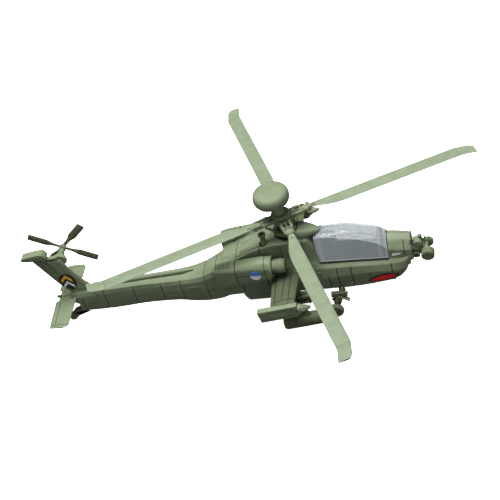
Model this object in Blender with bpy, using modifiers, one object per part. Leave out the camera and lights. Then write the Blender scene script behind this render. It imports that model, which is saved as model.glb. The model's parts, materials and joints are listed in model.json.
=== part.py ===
"""Snap-together toy attack helicopter, about 1:100, as separate moulded pieces with turning rotors and wheels.

Frame: +X to the nose, +Y to the left (port) side, +Z up.  The wheels stand on z = 0 and the origin is under
the middle of the overall box.  Values are in millimetres and MM turns them into metres.  Places along X in
the tables are measured from the main rotor's axis, which the empty "datum" carries.
"""
import math

import bmesh
import bpy
from mathutils import Matrix, Vector

MM = 0.001
PART_NAME = "toy_helicopter"

# Overall
ROTOR_AXIS_X = 16.9          # main rotor axis ahead of the middle of the overall length
GAP = 0.3                    # clearance between pieces that seat on each other
RUNNING_GAP = 0.35           # clearance round a turning pin or axle
SHELL_WALL = 1.0             # wall of the two body halves

# Body
COCKPIT_HALF_WIDTH = 5.0     # canopy foot and sill
SIDE_BAY_HALF_WIDTH = 7.5    # widest part of the long side bays
CANOPY_REAR_X = 9.2
CANOPY_FRONT_X = 35.2
CANOPY_WALL = 0.7
TUB_CLEAR = 0.35             # cockpit tub to the opening it drops into
SEAT_HALF_WIDTH = 0.42 * COCKPIT_HALF_WIDTH
PANEL_HALF_WIDTH = 0.52 * COCKPIT_HALF_WIDTH
BODY_STEP = 0.2              # length of the steep step at each end of the cockpit opening
SILL_REAR_Z = 22.5
SILL_FRONT_Z = 21.4
TAIL_END_X = -88.0
BOOM_SOLID_X = -76.0         # the boom is solid behind this station
BOOM_SOLID_ROOF_Z = 17.1
BOOM_END_ROOF_Z = 15.8

# Main rotor
HUB_Z = 42.0
ROTOR_RADIUS = 73.2
ROTOR_AZIMUTH = 23.2         # first blade, degrees from the nose towards the left side
BLADE_COUNT = 4
BLADE_ROOT_RADIUS = 11.4
BLADE_CHORD = 5.3
BLADE_NOSE = 1.4             # leading edge ahead of the blade's pitch axis
BLADE_THICKNESS = 0.8
BLADE_DROOP = 0.7
TIP_SWEEP = 1.7
TIP_SWEEP_START = 6.0        # inboard of the tip
MAST_WELL_RADIUS = 4.2
MAST_PIN_RADIUS = 1.2
MAST_SPIGOT_RADIUS = 0.8     # top of the pin, inside the radome's post
MAST_SPIGOT_TOP_Z = 45.9
MAST_COLUMN_RADIUS = 2.3
WELL_FLOOR_Z = 30.0
MAST_COLUMN_TOP_Z = 38.6
HUB_RADIUS = 3.6
HUB_HEIGHT = 4.2
ARM_WIDTH = 4.4
ARM_HEIGHT = 1.5
SWASH_RADIUS = 4.3
SWASH_HEIGHT = 1.3
SWASH_Z = 35.9
LINK_RADIUS = 0.45
RADOME_RADIUS = 6.55
RADOME_BOTTOM_Z = 48.0
RADOME_TOP_Z = 54.6
RADOME_POST_RADIUS = 2.2
RADOME_LEAN = 1.6            # the dome sits behind the mast on a leaning post
RADOME_SIDES = 32

# Tail rotor
TAIL_ROTOR_X = -89.5
TAIL_ROTOR_Y = 7.4
TAIL_ROTOR_Z = 31.6
TAIL_ROTOR_RADIUS = 14.0
TAIL_BLADE_CHORD = 3.0
TAIL_BLADE_THICKNESS = 0.6
TAIL_PAIR_ANGLES = (-31.0, 41.0)   # degrees above the nose direction, seen from the right side
TAIL_SHAFT_RADIUS = 1.1
TAIL_PIN_RADIUS = 0.5
FIN_HALF_THICKNESS = 1.1

# Engines
NACELLE_Y = 9.2
NACELLE_Z = 27.0
NACELLE_REAR_X = -27.4
NACELLE_FRONT_X = -6.4
NACELLE_INNER_Y = 6.7
LIP_RADIUS = 4.4
LIP_LENGTH = 2.2
INTAKE_RADIUS = 2.5
INTAKE_LENGTH = 3.6

# Wings and stores
WING_ROOT_Y = 7.3
WING_HALF_SPAN = 24.0
WING_INCIDENCE = 7.5
WING_MID_Z = 21.7
WING_MID_X = -2.1
WING_ROOT_CHORD = 10.6
WING_TIP_CHORD = 9.2
WING_THICKNESS = 1.5
LAUNCHER_LENGTH = 14.8
LAUNCHER_WIDTH = 2.2
LAUNCHER_HEIGHT = 5.2
SEEKER_LENGTH = 4.2
POD_Y = 0.86 * WING_HALF_SPAN
POD_Z = 10.2
POD_X = 4.0
POD_RADIUS = 2.6
POD_LENGTH = 16.4
RACK_Y = 0.59 * WING_HALF_SPAN
RACK_X = 2.2
RACK_Z = 14.6
RACK_LENGTH = 13.0
RACK_WIDTH = 3.6
RACK_HEIGHT = 3.8
PYLON_LENGTH = 6.4
PYLON_WIDTH = 1.2

# Landing gear
WHEEL_X = 12.9
WHEEL_Y = 10.7
WHEEL_RADIUS = 2.85
WHEEL_WIDTH = 2.0
AXLE_RADIUS = 0.6
LEG_RADIUS = 0.85
TAIL_WHEEL_X = -94.2
TAIL_WHEEL_RADIUS = 1.75
TAIL_WHEEL_WIDTH = 1.1
TAIL_AXLE_RADIUS = 0.35
FORK_THICKNESS = 0.7
FORK_TOP_Z = 5.3             # under the end of the boom

# Tailplane
TAILPLANE_Z = 13.1
TAILPLANE_HALF_SPAN = 17.0
TAILPLANE_THICKNESS = 1.0

# Belly
STAND_BLOCK_REAR_X = -20.0
STAND_BLOCK_FRONT_X = -11.6
STAND_BLOCK_HALF_WIDTH = 4.2
STAND_BLOCK_BOTTOM_Z = 5.3
STAND_BLOCK_TOP_Z = 8.6
GUN_X = 24.0
GUN_Z = 6.2
GUN_PEG_RADIUS = 0.9
GUN_PEG_HEAD = 0.8
GUN_KEEL_TOP_Z = 9.9         # inside face of the keel over the gun

# Nose sensors
SENSOR_X = 48.8
SENSOR_Z = 20.4
DRUM_RADII = {"left": 2.1, "right": 2.4}
DRUM_WIDTHS = {"left": 1.6, "right": 3.2}
DRUM_INNER_Y = 1.85          # inner face of each drum, either side of the neck
NECK_HALF_WIDTH = DRUM_INNER_Y - GAP
NIGHT_SENSOR_RADIUS = 1.65

# Colours (linear) of the moulded plastic
SAGE = (0.235, 0.285, 0.195)
OLIVE = (0.16, 0.20, 0.125)
DARK = (0.05, 0.06, 0.04)
FIGURE = (0.26, 0.31, 0.28)
CLEAR = (0.75, 0.78, 0.80)


# ---------------------------------------------------------------- helpers

def clear_scene():
    for obj in list(bpy.data.objects):
        bpy.data.objects.remove(obj, do_unlink=True)


def new_collection(name):
    collection = bpy.data.collections.new(name)
    bpy.context.scene.collection.children.link(collection)
    return collection


def plastic(name, colour, roughness=0.55, transmission=0.0):
    material = bpy.data.materials.new(name)
    material.use_nodes = True
    shader = material.node_tree.nodes["Principled BSDF"]
    shader.inputs["Base Color"].default_value = (*colour, 1.0)
    shader.inputs["Roughness"].default_value = roughness
    shader.inputs["Metallic"].default_value = 0.0
    shader.inputs["Transmission Weight"].default_value = transmission
    return material


def vec(x, y, z):
    return Vector((x, y, z)) * MM


def empty(name, x, y, z, parent=None):
    obj = bpy.data.objects.new(name, None)
    obj.location = vec(x, y, z)
    obj.parent = parent
    PARTS.objects.link(obj)
    return obj


def finish_mesh(name, bm, material, parent, collection=None):
    bmesh.ops.recalc_face_normals(bm, faces=bm.faces)
    mesh = bpy.data.meshes.new(name)
    bm.to_mesh(mesh)
    bm.free()
    mesh.shade_smooth()
    mesh.set_sharp_from_angle(angle=math.radians(35.0))
    mesh.materials.append(material)
    obj = bpy.data.objects.new(name, mesh)
    obj.parent = parent
    (collection or PARTS).objects.link(obj)
    return obj


def cutter_mesh(name, bm):
    obj = finish_mesh(name, bm, MATERIALS["dark"], DATUM, CUTTERS)
    obj.hide_render = True
    obj.display_type = "WIRE"
    return obj


def boolean(target, tool, operation="DIFFERENCE", solver="EXACT"):
    modifier = target.modifiers.new(operation.lower(), "BOOLEAN")
    modifier.operation = operation
    modifier.solver = solver
    modifier.object = tool


def bevel(obj, width, segments=1):
    modifier = obj.modifiers.new("edge", "BEVEL")
    modifier.width = width * MM
    modifier.segments = segments
    modifier.limit_method = "ANGLE"
    modifier.angle_limit = math.radians(40.0)
    return obj


def loft_bmesh(rings):
    """Closed skin through rings of (x, y, z) with the same number of points each, with both ends capped."""
    bm = bmesh.new()
    rows = [[bm.verts.new(vec(*point)) for point in ring] for ring in rings]
    count = len(rows[0])
    for row, following in zip(rows, rows[1:]):
        for index in range(count):
            after = (index + 1) % count
            bm.faces.new((row[index], row[after], following[after], following[index]))
    bm.faces.new(rows[0])
    bm.faces.new(rows[-1])
    return bm


def loft(name, rings, material, parent=None):
    return finish_mesh(name, loft_bmesh(rings), material, parent or DATUM)


def box_bmesh(size, centre, turn=None):
    bm = bmesh.new()
    bmesh.ops.create_cube(bm, size=1.0)
    bmesh.ops.scale(bm, vec=vec(*size), verts=bm.verts)
    if turn:
        bmesh.ops.rotate(bm, cent=(0, 0, 0), matrix=turn, verts=bm.verts)
    bmesh.ops.translate(bm, vec=vec(*centre), verts=bm.verts)
    return bm


def box(name, size, centre, material, parent=None, turn=None):
    return finish_mesh(name, box_bmesh(size, centre, turn), material, parent or DATUM)


AXIS_TURNS = {
    "X": Matrix.Rotation(math.radians(90.0), 3, "Y"),
    "Y": Matrix.Rotation(math.radians(-90.0), 3, "X"),
    "Z": Matrix.Identity(3),
}


def rod_bmesh(radius, length, centre, axis, segments=20, end_radius=None):
    """Cylinder or cone centred on a point; end_radius is at the axis's positive end."""
    bm = bmesh.new()
    far = radius if end_radius is None else end_radius
    bmesh.ops.create_cone(bm, cap_ends=True, segments=segments, radius1=radius * MM, radius2=far * MM,
                          depth=length * MM)
    turn = AXIS_TURNS[axis] if isinstance(axis, str) else axis
    bmesh.ops.rotate(bm, cent=(0, 0, 0), matrix=turn, verts=bm.verts)
    bmesh.ops.translate(bm, vec=vec(*centre), verts=bm.verts)
    return bm


def rod(name, radius, length, centre, axis, material, parent=None, segments=20, end_radius=None):
    bm = rod_bmesh(radius, length, centre, axis, segments, end_radius)
    return finish_mesh(name, bm, material, parent or DATUM)


def rod_between(name, start, end, radius, material, parent=None, segments=10):
    start, end = Vector(start), Vector(end)
    run = end - start
    turn = run.to_track_quat("Z", "Y").to_matrix()
    return rod(name, radius, run.length, (start + end) / 2, turn, material, parent, segments)


def turned(name, profile, material, parent, axis="Z", steps=28, place=(0, 0, 0)):
    """Solid of revolution from (radius, height) points that run down the outer side, top to bottom.

    A profile that starts and ends on the axis makes a closed solid, and a profile whose last point
    repeats its first makes a ring.
    """
    mesh = bpy.data.meshes.new(name)
    ring = profile[0] == profile[-1]
    points = profile[:-1] if ring else profile
    edges = [(index, index + 1) for index in range(len(points) - 1)]
    if ring:
        edges.append((len(points) - 1, 0))
    mesh.from_pydata([vec(radius, 0, height) for radius, height in points], edges, [])
    mesh.materials.append(material)
    obj = bpy.data.objects.new(name, mesh)
    obj.parent = parent
    obj.location = vec(*place)
    obj.rotation_euler = AXIS_TURNS[axis].to_euler()
    PARTS.objects.link(obj)
    screw = obj.modifiers.new("turn", "SCREW")
    screw.axis = "Z"
    screw.steps = steps
    screw.render_steps = steps
    screw.use_merge_vertices = True
    screw.merge_threshold = 0.00001
    screw.use_smooth_shade = True
    return obj


def both_sides(build):
    """Call build(side name, side sign) for the left (+Y) and right (-Y) side."""
    for side, sign in (("left", 1), ("right", -1)):
        build(side, sign)


def at_angle(radius, offset, degrees, z):
    """Point at a radius along an arm and an offset ahead of it, for an arm at an angle about Z."""
    a = math.radians(degrees)
    return (radius * math.cos(a) - offset * math.sin(a), radius * math.sin(a) + offset * math.cos(a), z)


def sill_z(x):
    share = (x - CANOPY_REAR_X) / (CANOPY_FRONT_X - CANOPY_REAR_X)
    return SILL_REAR_Z + share * (SILL_FRONT_Z - SILL_REAR_Z)


# ---------------------------------------------------------------- body halves

def cockpit_section(x, crease_z, belly_y, belly_z, keel_z):
    """A section under the canopy: the roof is cut down to the sill."""
    sill = sill_z(x)
    bay = SIDE_BAY_HALF_WIDTH
    return (x, sill, (2.6, sill), (COCKPIT_HALF_WIDTH + 0.1, sill), (COCKPIT_HALF_WIDTH + 0.4, sill - 0.3),
            (bay - 0.2, sill - 0.1), (bay, crease_z), (belly_y, belly_z), keel_z)


def body_sections():
    """Half sections from tail to nose: x, roof centre z, then (y, z) of the roof, shoulder, waist, bay edge,
    crease and belly, then the keel's z."""
    bay = SIDE_BAY_HALF_WIDTH
    cockpit = COCKPIT_HALF_WIDTH
    return [
        (TAIL_END_X, BOOM_END_ROOF_Z, (1.0, 15.7), (1.8, 15.2), (2.3, 14.0), (2.4, 12.3), (2.4, 9.2),
         (2.2, 6.1), 5.7),
        (BOOM_SOLID_X, BOOM_SOLID_ROOF_Z, (1.2, 17.0), (2.1, 16.4), (2.8, 14.6), (2.9, 12.5), (2.8, 9.6),
         (2.5, 6.5), 6.1),
        (-57.0, 18.8, (1.5, 18.6), (2.6, 18.0), (3.3, 16.4), (3.5, 14.0), (3.4, 11.0), (2.8, 8.1), 7.2),
        (-48.0, 19.4, (1.7, 19.2), (3.0, 18.5), (3.8, 17.0), (4.1, 14.3), (4.0, 11.3), (3.1, 8.2), 7.3),
        (-42.0, 19.9, (2.0, 19.7), (3.6, 19.0), (4.4, 17.6), (4.7, 14.5), (4.5, 11.0), (3.5, 7.5), 6.5),
        (-36.0, 20.9, (2.4, 20.8), (4.2, 20.2), (4.9, 18.6), (5.1, 14.8), (4.9, 11.0), (3.8, 7.1), 6.1),
        (-30.0, 23.8, (2.6, 23.7), (4.6, 22.9), (5.3, 20.5), (5.5, 15.0), (5.2, 11.2), (4.1, 8.0), 7.0),
        (-26.0, 25.9, (2.8, 25.8), (5.0, 25.2), (5.6, 22.5), (5.8, 15.5), (5.4, 11.8), (4.5, 9.6), 8.9),
        (-20.0, 28.8, (3.0, 28.7), (5.2, 28.3), (5.8, 24.0), (6.0, 16.5), (5.7, 12.3), (4.8, 10.0), 9.3),
        (-10.0, 33.2, (3.2, 33.1), (5.3, 32.7), (6.0, 26.0), (6.2, 18.5), (6.0, 13.5), (5.1, 9.7), 9.0),
        (-4.0, 34.4, (3.4, 34.3), (5.3, 33.8), (6.0, 26.0), (6.4, 19.5), (6.4, 15.0), (5.2, 9.3), 8.6),
        (3.0, 34.4, (3.3, 34.2), (5.0, 33.5), (5.9, 26.0), (6.8, 21.6), (6.9, 15.6), (5.3, 9.0), 8.3),
        (CANOPY_REAR_X, 32.6, (2.4, 32.5), (3.6, 31.8), (cockpit + 0.2, 25.0), (bay - 0.2, 22.3), (bay, 16.0),
         (5.4, 8.9), 8.1),
        cockpit_section(CANOPY_REAR_X + BODY_STEP, 16.0, 5.4, 8.9, 8.1),
        cockpit_section(20.0, 17.0, 5.5, 9.0, 8.2),
        cockpit_section(30.0, 17.5, 5.5, 10.0, 9.1),
        cockpit_section(CANOPY_FRONT_X, 17.3, 5.5, 10.9, 10.0),
        (CANOPY_FRONT_X + BODY_STEP, 28.9, (2.6, 27.9), (cockpit, 25.2), (cockpit + 0.2, 22.2),
         (bay - 0.2, 21.3), (bay, 17.3), (5.5, 11.0), 10.1),
        (38.0, 28.6, (2.6, 27.6), (4.9, 24.9), (5.1, 22.0), (7.1, 21.3), (7.2, 17.0), (5.3, 12.0), 11.2),
        (40.5, 28.2, (2.5, 27.2), (4.8, 24.4), (5.0, 21.8), (6.6, 21.1), (6.4, 16.8), (4.6, 14.4), 13.8),
        (42.0, 28.0, (2.4, 27.0), (4.6, 24.1), (4.8, 21.7), (5.4, 20.9), (5.2, 18.2), (4.0, 17.2), 16.8),
        (43.4, 27.6, (2.3, 26.6), (4.3, 23.8), (4.5, 21.5), (4.4, 20.6), (4.2, 19.5), (3.4, 19.0), 18.8),
    ]


def half_ring(section, sign, split_y):
    x, top, *outline, keel = section
    points = [(x, sign * split_y, top)]
    points += [(x, sign * y, z) for y, z in outline]
    points.append((x, sign * split_y, keel))
    return points


def inner_section(section):
    """The same section moved inwards by the wall, with the cockpit's end walls kept."""
    x, top, roof, shoulder, waist, bay, crease, belly, keel = section
    wall = SHELL_WALL
    if x == CANOPY_REAR_X:
        x -= wall
    if x == CANOPY_FRONT_X + BODY_STEP:
        x += wall
    return (x, top - wall, (roof[0] - 0.4 * wall, roof[1] - wall), (shoulder[0] - wall, shoulder[1] - wall),
            (waist[0] - wall, waist[1] - 0.4 * wall), (bay[0] - wall, bay[1] - 0.6 * wall),
            (crease[0] - wall, crease[1]), (belly[0] - 0.8 * wall, belly[1] + wall), keel + wall)


def body_half(side, sign):
    sections = body_sections()
    half = loft(f"fuselage_{side}", [half_ring(s, sign, GAP / 2) for s in sections], MATERIALS["sage"])
    hollow = [inner_section(s) for s in sections if BOOM_SOLID_X <= s[0] <= 42.0]
    cavity = cutter_mesh(f"cavity_{side}", loft_bmesh([half_ring(s, sign, -1.0) for s in hollow]))
    boolean(half, cavity)
    boolean(half, COCKPIT_CUTTER)
    boolean(half, WELL_CUTTER)
    boolean(half, PEG_CUTTER, solver="MANIFOLD")


def body_cutters():
    length = CANOPY_FRONT_X - CANOPY_REAR_X - 1.6
    middle = (CANOPY_FRONT_X + CANOPY_REAR_X) / 2
    width = 2 * (COCKPIT_HALF_WIDTH - 0.6)
    cockpit = cutter_mesh("cockpit_cutter", box_bmesh((length, width, 16.0), (middle, 0, 22.0)))
    well = cutter_mesh("well_cutter", rod_bmesh(MAST_WELL_RADIUS, 12.0, (0, 0, WELL_FLOOR_Z + 5.0), "Z", 32))
    peg_hole = rod_bmesh(GUN_PEG_RADIUS + RUNNING_GAP, 7.0, (GUN_X, 0, 8.0), "Z", 18)
    return cockpit, well, cutter_mesh("gun_peg_hole", peg_hole)


# ---------------------------------------------------------------- cockpit

def tub_extent():
    rear = CANOPY_REAR_X + 0.8 + TUB_CLEAR
    front = CANOPY_FRONT_X - 0.8 - TUB_CLEAR
    return rear, front, COCKPIT_HALF_WIDTH - 0.6 - TUB_CLEAR


def cockpit_tub():
    rear, front, half = tub_extent()
    floor_z = 14.2
    middle = (front + rear) / 2
    tub = box("cockpit_tub", (front - rear, 2 * half, 6.4), (middle, 0, floor_z + 2.2), MATERIALS["olive"])
    inside = box_bmesh((front - rear - 1.6, 2 * half - 1.4, 8.0), (middle, 0, floor_z + 4.0))
    boolean(tub, cutter_mesh("tub_inside", inside))
    return floor_z


def seat(name, x, floor_z):
    """Seat pan and back as one bent outline, extruded across."""
    side = [(x + 3.6, floor_z + 0.4), (x + 3.6, floor_z + 2.4), (x + 0.4, floor_z + 2.2),
            (x - 1.2, floor_z + 10.2), (x - 2.4, floor_z + 10.2), (x - 1.4, floor_z + 0.4)]
    rings = [[(px, y, pz) for px, pz in side] for y in (-SEAT_HALF_WIDTH, SEAT_HALF_WIDTH)]
    return bevel(loft(name, rings, MATERIALS["olive"]), 0.3)


def pilot(name, x, floor_z):
    """Seated figure: a lofted torso and helmet from the lap up."""
    base = floor_z + 2.9
    levels = [(0.0, 2.0, 1.6, 0.6), (2.2, 1.9, 1.3, 0.3), (4.6, 2.6, 1.3, 0.0), (5.4, 1.6, 1.1, 0.0),
              (5.8, 0.8, 0.8, 0.1), (6.2, 1.15, 1.3, 0.2), (7.4, 1.4, 1.6, 0.2), (8.6, 1.1, 1.25, 0.1),
              (9.1, 0.5, 0.6, 0.0)]
    rings = []
    for height, half_width, half_depth, ahead in levels:
        ring = []
        for step in range(10):
            a = step * math.tau / 10
            ring.append((x + 1.8 + ahead + half_depth * math.cos(a), half_width * math.sin(a), base + height))
        rings.append(ring)
    return loft(name, rings, MATERIALS["figure"])


def panel(name, x, floor_z, height):
    side = [(x, floor_z + 0.4), (x + 1.6, floor_z + 0.4), (x + 2.2, floor_z + height - 0.8),
            (x + 0.6, floor_z + height)]
    rings = [[(px, y, pz) for px, pz in side] for y in (-PANEL_HALF_WIDTH, PANEL_HALF_WIDTH)]
    return bevel(loft(name, rings, MATERIALS["dark"]), 0.25)


def canopy_ring(x, top, middle, rail, wall, foot_z):
    foot = COCKPIT_HALF_WIDTH
    right = [(-(foot - wall), foot_z), (-(rail[0] - wall), rail[1] - 0.6 * wall),
             (-(middle[0] - 0.4 * wall), middle[1] - wall)]
    left = [(-y, z) for y, z in reversed(right)]
    return [(x, y, z) for y, z in right + [(0.0, top - wall)] + left]


def canopy():
    rear, front = CANOPY_REAR_X + BODY_STEP + GAP, CANOPY_FRONT_X - 0.1
    stations = [(rear, 33.0, (1.8, 32.9), (3.3, 32.6)), (13.0, 33.3, (1.9, 33.2), (3.5, 32.7)),
                (23.0, 33.1, (2.2, 32.8), (4.1, 31.6)), (30.0, 31.7, (2.4, 31.1), (4.3, 29.1)),
                (33.2, 30.5, (2.5, 29.7), (4.4, 27.5)), (front, 29.2, (2.6, 28.1), (4.6, 25.4))]
    outer = [canopy_ring(x, top, middle, rail, 0.0, sill_z(x) + GAP) for x, top, middle, rail in stations]
    shell = loft("canopy", outer, MATERIALS["clear"])
    ends = [rear + CANOPY_WALL, front - CANOPY_WALL]
    inner = []
    for x, top, middle, rail in stations:
        x = min(max(x, ends[0]), ends[1])
        inner.append(canopy_ring(x, top, middle, rail, CANOPY_WALL, sill_z(x) - 1.0))
    boolean(shell, cutter_mesh("canopy_inside", loft_bmesh(inner)))


def cockpit():
    base = cockpit_tub()
    seat("front_seat", 24.0, base)
    seat("rear_seat", 14.0, base + 2.0)
    pilot("front_pilot", 24.3, base)
    pilot("rear_pilot", 14.3, base + 2.0)
    panel("front_panel", 30.0, base, 7.0)
    panel("rear_panel", 19.4, base, 9.0)
    canopy()


# ---------------------------------------------------------------- nose sensors

def sensor_drum(side, sign):
    width = DRUM_WIDTHS[side]
    middle_y = sign * (DRUM_INNER_Y + width / 2)
    drum = rod(f"sensor_drum_{side}", DRUM_RADII[side], width, (SENSOR_X, middle_y, SENSOR_Z), "Y",
               MATERIALS["olive"], segments=20)
    bevel(drum, 0.4, 2)


def nose():
    """Sensor turrets: two drums either side of a neck, and the night sensor above them."""
    sage = MATERIALS["sage"]
    neck = box("sensor_neck", (5.6, 2 * NECK_HALF_WIDTH, 3.2), (46.7, 0, 20.2), sage)
    bevel(neck, 0.7, 2)
    both_sides(sensor_drum)
    night = rod("night_sensor", NIGHT_SENSOR_RADIUS, 3.6, (45.7, -0.5, 23.9), "Y", sage, segments=18)
    bevel(night, 0.4, 2)


# ---------------------------------------------------------------- rotor pylon and main rotor

def mast_fairing():
    """Small wedge ahead of the mast, over the back of the canopy: x, crown (y, z), side (y, z), foot z."""
    stations = [(4.9, 2.5, 36.4, 3.6, 35.0, 34.3), (8.0, 2.1, 36.0, 3.0, 34.9, 34.0),
                (10.6, 1.5, 35.4, 2.0, 34.6, 33.8), (12.0, 0.7, 34.8, 0.9, 34.3, 33.8)]
    rings = []
    for x, crown_y, crown_z, side_y, side_z, foot_z in stations:
        left = [(x, crown_y, crown_z), (x, side_y, side_z), (x, side_y, foot_z)]
        rings.append([(x, -y, z) for x, y, z in reversed(left)] + left)
    return loft("mast_fairing", rings, MATERIALS["sage"])


def mast():
    """Cup that lines the roof well with the mast's column, and the pin that carries the hub and the radome."""
    wall = 0.7
    rim = MAST_WELL_RADIUS - GAP
    rim_z = WELL_FLOOR_Z + 4.0
    bore = MAST_PIN_RADIUS + GAP
    floor = WELL_FLOOR_Z
    turned("mast_base", [(bore, MAST_COLUMN_TOP_Z), (MAST_COLUMN_RADIUS, MAST_COLUMN_TOP_Z),
                         (MAST_COLUMN_RADIUS, floor), (rim - wall, floor), (rim - wall, rim_z), (rim, rim_z),
                         (rim, floor - wall), (bore, floor - wall), (bore, MAST_COLUMN_TOP_Z)],
           MATERIALS["olive"], DATUM)
    shoulder = HUB_Z + HUB_HEIGHT / 2
    turned("mast_pin", [(0.0, MAST_SPIGOT_TOP_Z), (MAST_SPIGOT_RADIUS, MAST_SPIGOT_TOP_Z),
                        (MAST_SPIGOT_RADIUS, shoulder), (MAST_PIN_RADIUS, shoulder), (MAST_PIN_RADIUS, floor),
                        (0.0, floor)], MATERIALS["olive"], DATUM, steps=24)


def radome():
    """Dome on a short post that leans back; a socket in the post's foot takes the mast's spigot."""
    post_foot = HUB_Z + HUB_HEIGHT / 2 + GAP
    levels = [(post_foot, RADOME_POST_RADIUS, 0.3), (MAST_SPIGOT_TOP_Z, RADOME_POST_RADIUS, 0.4),
              (RADOME_BOTTOM_Z - 0.8, RADOME_POST_RADIUS, 0.6),
              (RADOME_BOTTOM_Z, RADOME_POST_RADIUS + 0.6, 0.7), (RADOME_BOTTOM_Z + 0.4, 5.2, 0.8),
              (49.8, RADOME_RADIUS - 0.3, 1.0), (51.4, RADOME_RADIUS, 1.0),
              (RADOME_TOP_Z - 1.8, RADOME_RADIUS - 0.4, 1.0), (RADOME_TOP_Z - 0.6, 5.0, 1.0),
              (RADOME_TOP_Z - 0.1, 3.2, 1.0), (RADOME_TOP_Z, 1.0, 1.0)]
    rings = []
    for z, radius, lean in levels:
        ring = []
        for step in range(RADOME_SIDES):
            a = step * math.tau / RADOME_SIDES
            ring.append((radius * math.cos(a) - lean * RADOME_LEAN, radius * math.sin(a), z))
        rings.append(ring)
    dome = loft("radome", rings, MATERIALS["sage"])
    socket_depth = MAST_SPIGOT_TOP_Z + GAP - post_foot
    socket = rod_bmesh(MAST_SPIGOT_RADIUS + GAP, 2 * socket_depth, (0, 0, post_foot), "Z", 20)
    boolean(dome, cutter_mesh("radome_socket", socket))


def rotor_hub(spin):
    bore = MAST_PIN_RADIUS + RUNNING_GAP
    hub = rod("rotor_hub", HUB_RADIUS, HUB_HEIGHT, (0, 0, 0), "Z", MATERIALS["olive"], spin, segments=24)
    arm_length = 2 * (BLADE_ROOT_RADIUS - GAP)
    for index in range(BLADE_COUNT // 2):
        turn = Matrix.Rotation(math.radians(ROTOR_AZIMUTH + 90.0 * index), 3, "Z")
        arms = box_bmesh((arm_length, ARM_WIDTH, ARM_HEIGHT), (0, 0, HUB_Z), turn)
        boolean(hub, cutter_mesh(f"hub_arms_{index}", arms), "UNION")
    pin_hole = cutter_mesh("hub_bore", rod_bmesh(bore, 3 * HUB_HEIGHT, (0, 0, HUB_Z), "Z", 24))
    boolean(hub, pin_hole)


def blade_ring(radius, nose, tail, azimuth):
    """Aerofoil ring, flat below, with the leading edge in the direction of turn."""
    share = (radius - BLADE_ROOT_RADIUS) / (ROTOR_RADIUS - BLADE_ROOT_RADIUS)
    z = -BLADE_DROOP * share
    half = BLADE_THICKNESS / 2
    chord = nose - tail
    shape = [(nose, 0.0), (nose - 0.12 * chord, half * 0.8), (nose - 0.35 * chord, half),
             (tail + 0.3 * chord, half * 0.6), (tail, 0.12), (tail, -0.12), (tail + 0.3 * chord, -half * 0.6),
             (nose - 0.35 * chord, -half * 0.9), (nose - 0.12 * chord, -half * 0.7)]
    return [at_angle(radius, offset, azimuth, z + height) for offset, height in shape]


def main_blade(name, azimuth, spin):
    nose, tail = BLADE_NOSE, BLADE_NOSE - BLADE_CHORD
    tip = ROTOR_RADIUS
    bend = tip - TIP_SWEEP_START
    plan = [(BLADE_ROOT_RADIUS, 1.2, -1.3), (14.2, nose - 0.1, -2.0), (18.4, nose, tail + 0.5),
            (21.5, nose, tail), ((21.5 + bend) / 2, nose, tail), (bend - 0.8, nose, tail),
            (bend + 1.2, nose - 0.3 * TIP_SWEEP, tail - 0.1),
            (tip - 0.6, nose - TIP_SWEEP, tail - 0.75 * TIP_SWEEP),
            (tip, nose - TIP_SWEEP - 0.8, tail - 0.85 * TIP_SWEEP)]
    rings = [blade_ring(radius, lead, trail, azimuth) for radius, lead, trail in plan]
    return loft(name, rings, MATERIALS["sage"], spin)


def main_rotor():
    spin = empty("main_rotor_axis", 0, 0, HUB_Z, DATUM)
    rotor_hub(spin)
    ring_bore = MAST_COLUMN_RADIUS + RUNNING_GAP
    low, high = SWASH_Z - HUB_Z, SWASH_Z + SWASH_HEIGHT - HUB_Z
    turned("swash_ring", [(ring_bore, high), (SWASH_RADIUS - 0.3, high), (SWASH_RADIUS, high - 0.3),
                          (SWASH_RADIUS, low), (ring_bore, low), (ring_bore, high)], MATERIALS["olive"], spin)
    for index in range(BLADE_COUNT):
        azimuth = ROTOR_AZIMUTH + index * 360.0 / BLADE_COUNT
        main_blade(f"main_blade_{index + 1}", azimuth, spin)
        foot = at_angle(SWASH_RADIUS - 0.7, 1.2, azimuth, high + GAP)
        head = at_angle(6.4, 1.5, azimuth, -ARM_HEIGHT / 2 - 0.5)
        rod_between(f"pitch_link_{index + 1}", foot, head, LINK_RADIUS, MATERIALS["olive"], spin)


# ---------------------------------------------------------------- tail

def boom_roof_z(x):
    """Height of the boom's ridge behind its solid station."""
    share = (x - TAIL_END_X) / (BOOM_SOLID_X - TAIL_END_X)
    return BOOM_END_ROOF_Z + share * (BOOM_SOLID_ROOF_Z - BOOM_END_ROOF_Z)


def tail_fin():
    """Swept fin from the boom's ridge up to the fin cap; its foot follows the ridge."""
    half = FIN_HALF_THICKNESS
    levels = [(None, -78.5, -90.6, half), (21.0, -83.0, -94.0, half), (26.5, -86.0, -96.7, half * 0.95),
              (31.0, -87.7, -98.9, half * 0.9), (33.9, -89.4, -100.3, half * 0.8)]
    rings = []
    for z, lead, trail, thick in levels:
        chord = lead - trail
        outline = [(lead, 0), (lead - 0.1 * chord, -thick * 0.8), (lead - 0.4 * chord, -thick), (trail, -0.25),
                   (trail, 0.25), (lead - 0.4 * chord, thick), (lead - 0.1 * chord, thick * 0.8)]
        rings.append([(x, y, boom_roof_z(x) + GAP if z is None else z) for x, y in outline])
    return loft("tail_fin", rings, MATERIALS["sage"])


def fin_cap():
    rings = []
    for y, trim in ((-1.7, 0.5), (-1.0, 0.0), (1.0, 0.0), (1.7, 0.5)):
        rings.append([(-92.8 - trim, y, 35.4), (-94.2, y, 37.4 - trim), (-102.6, y, 36.0 - trim),
                      (-103.2 + trim, y, 34.7), (-101.5, y, 34.3), (-94.0, y, 34.4)])
    return loft("fin_cap", rings, MATERIALS["sage"])


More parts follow.
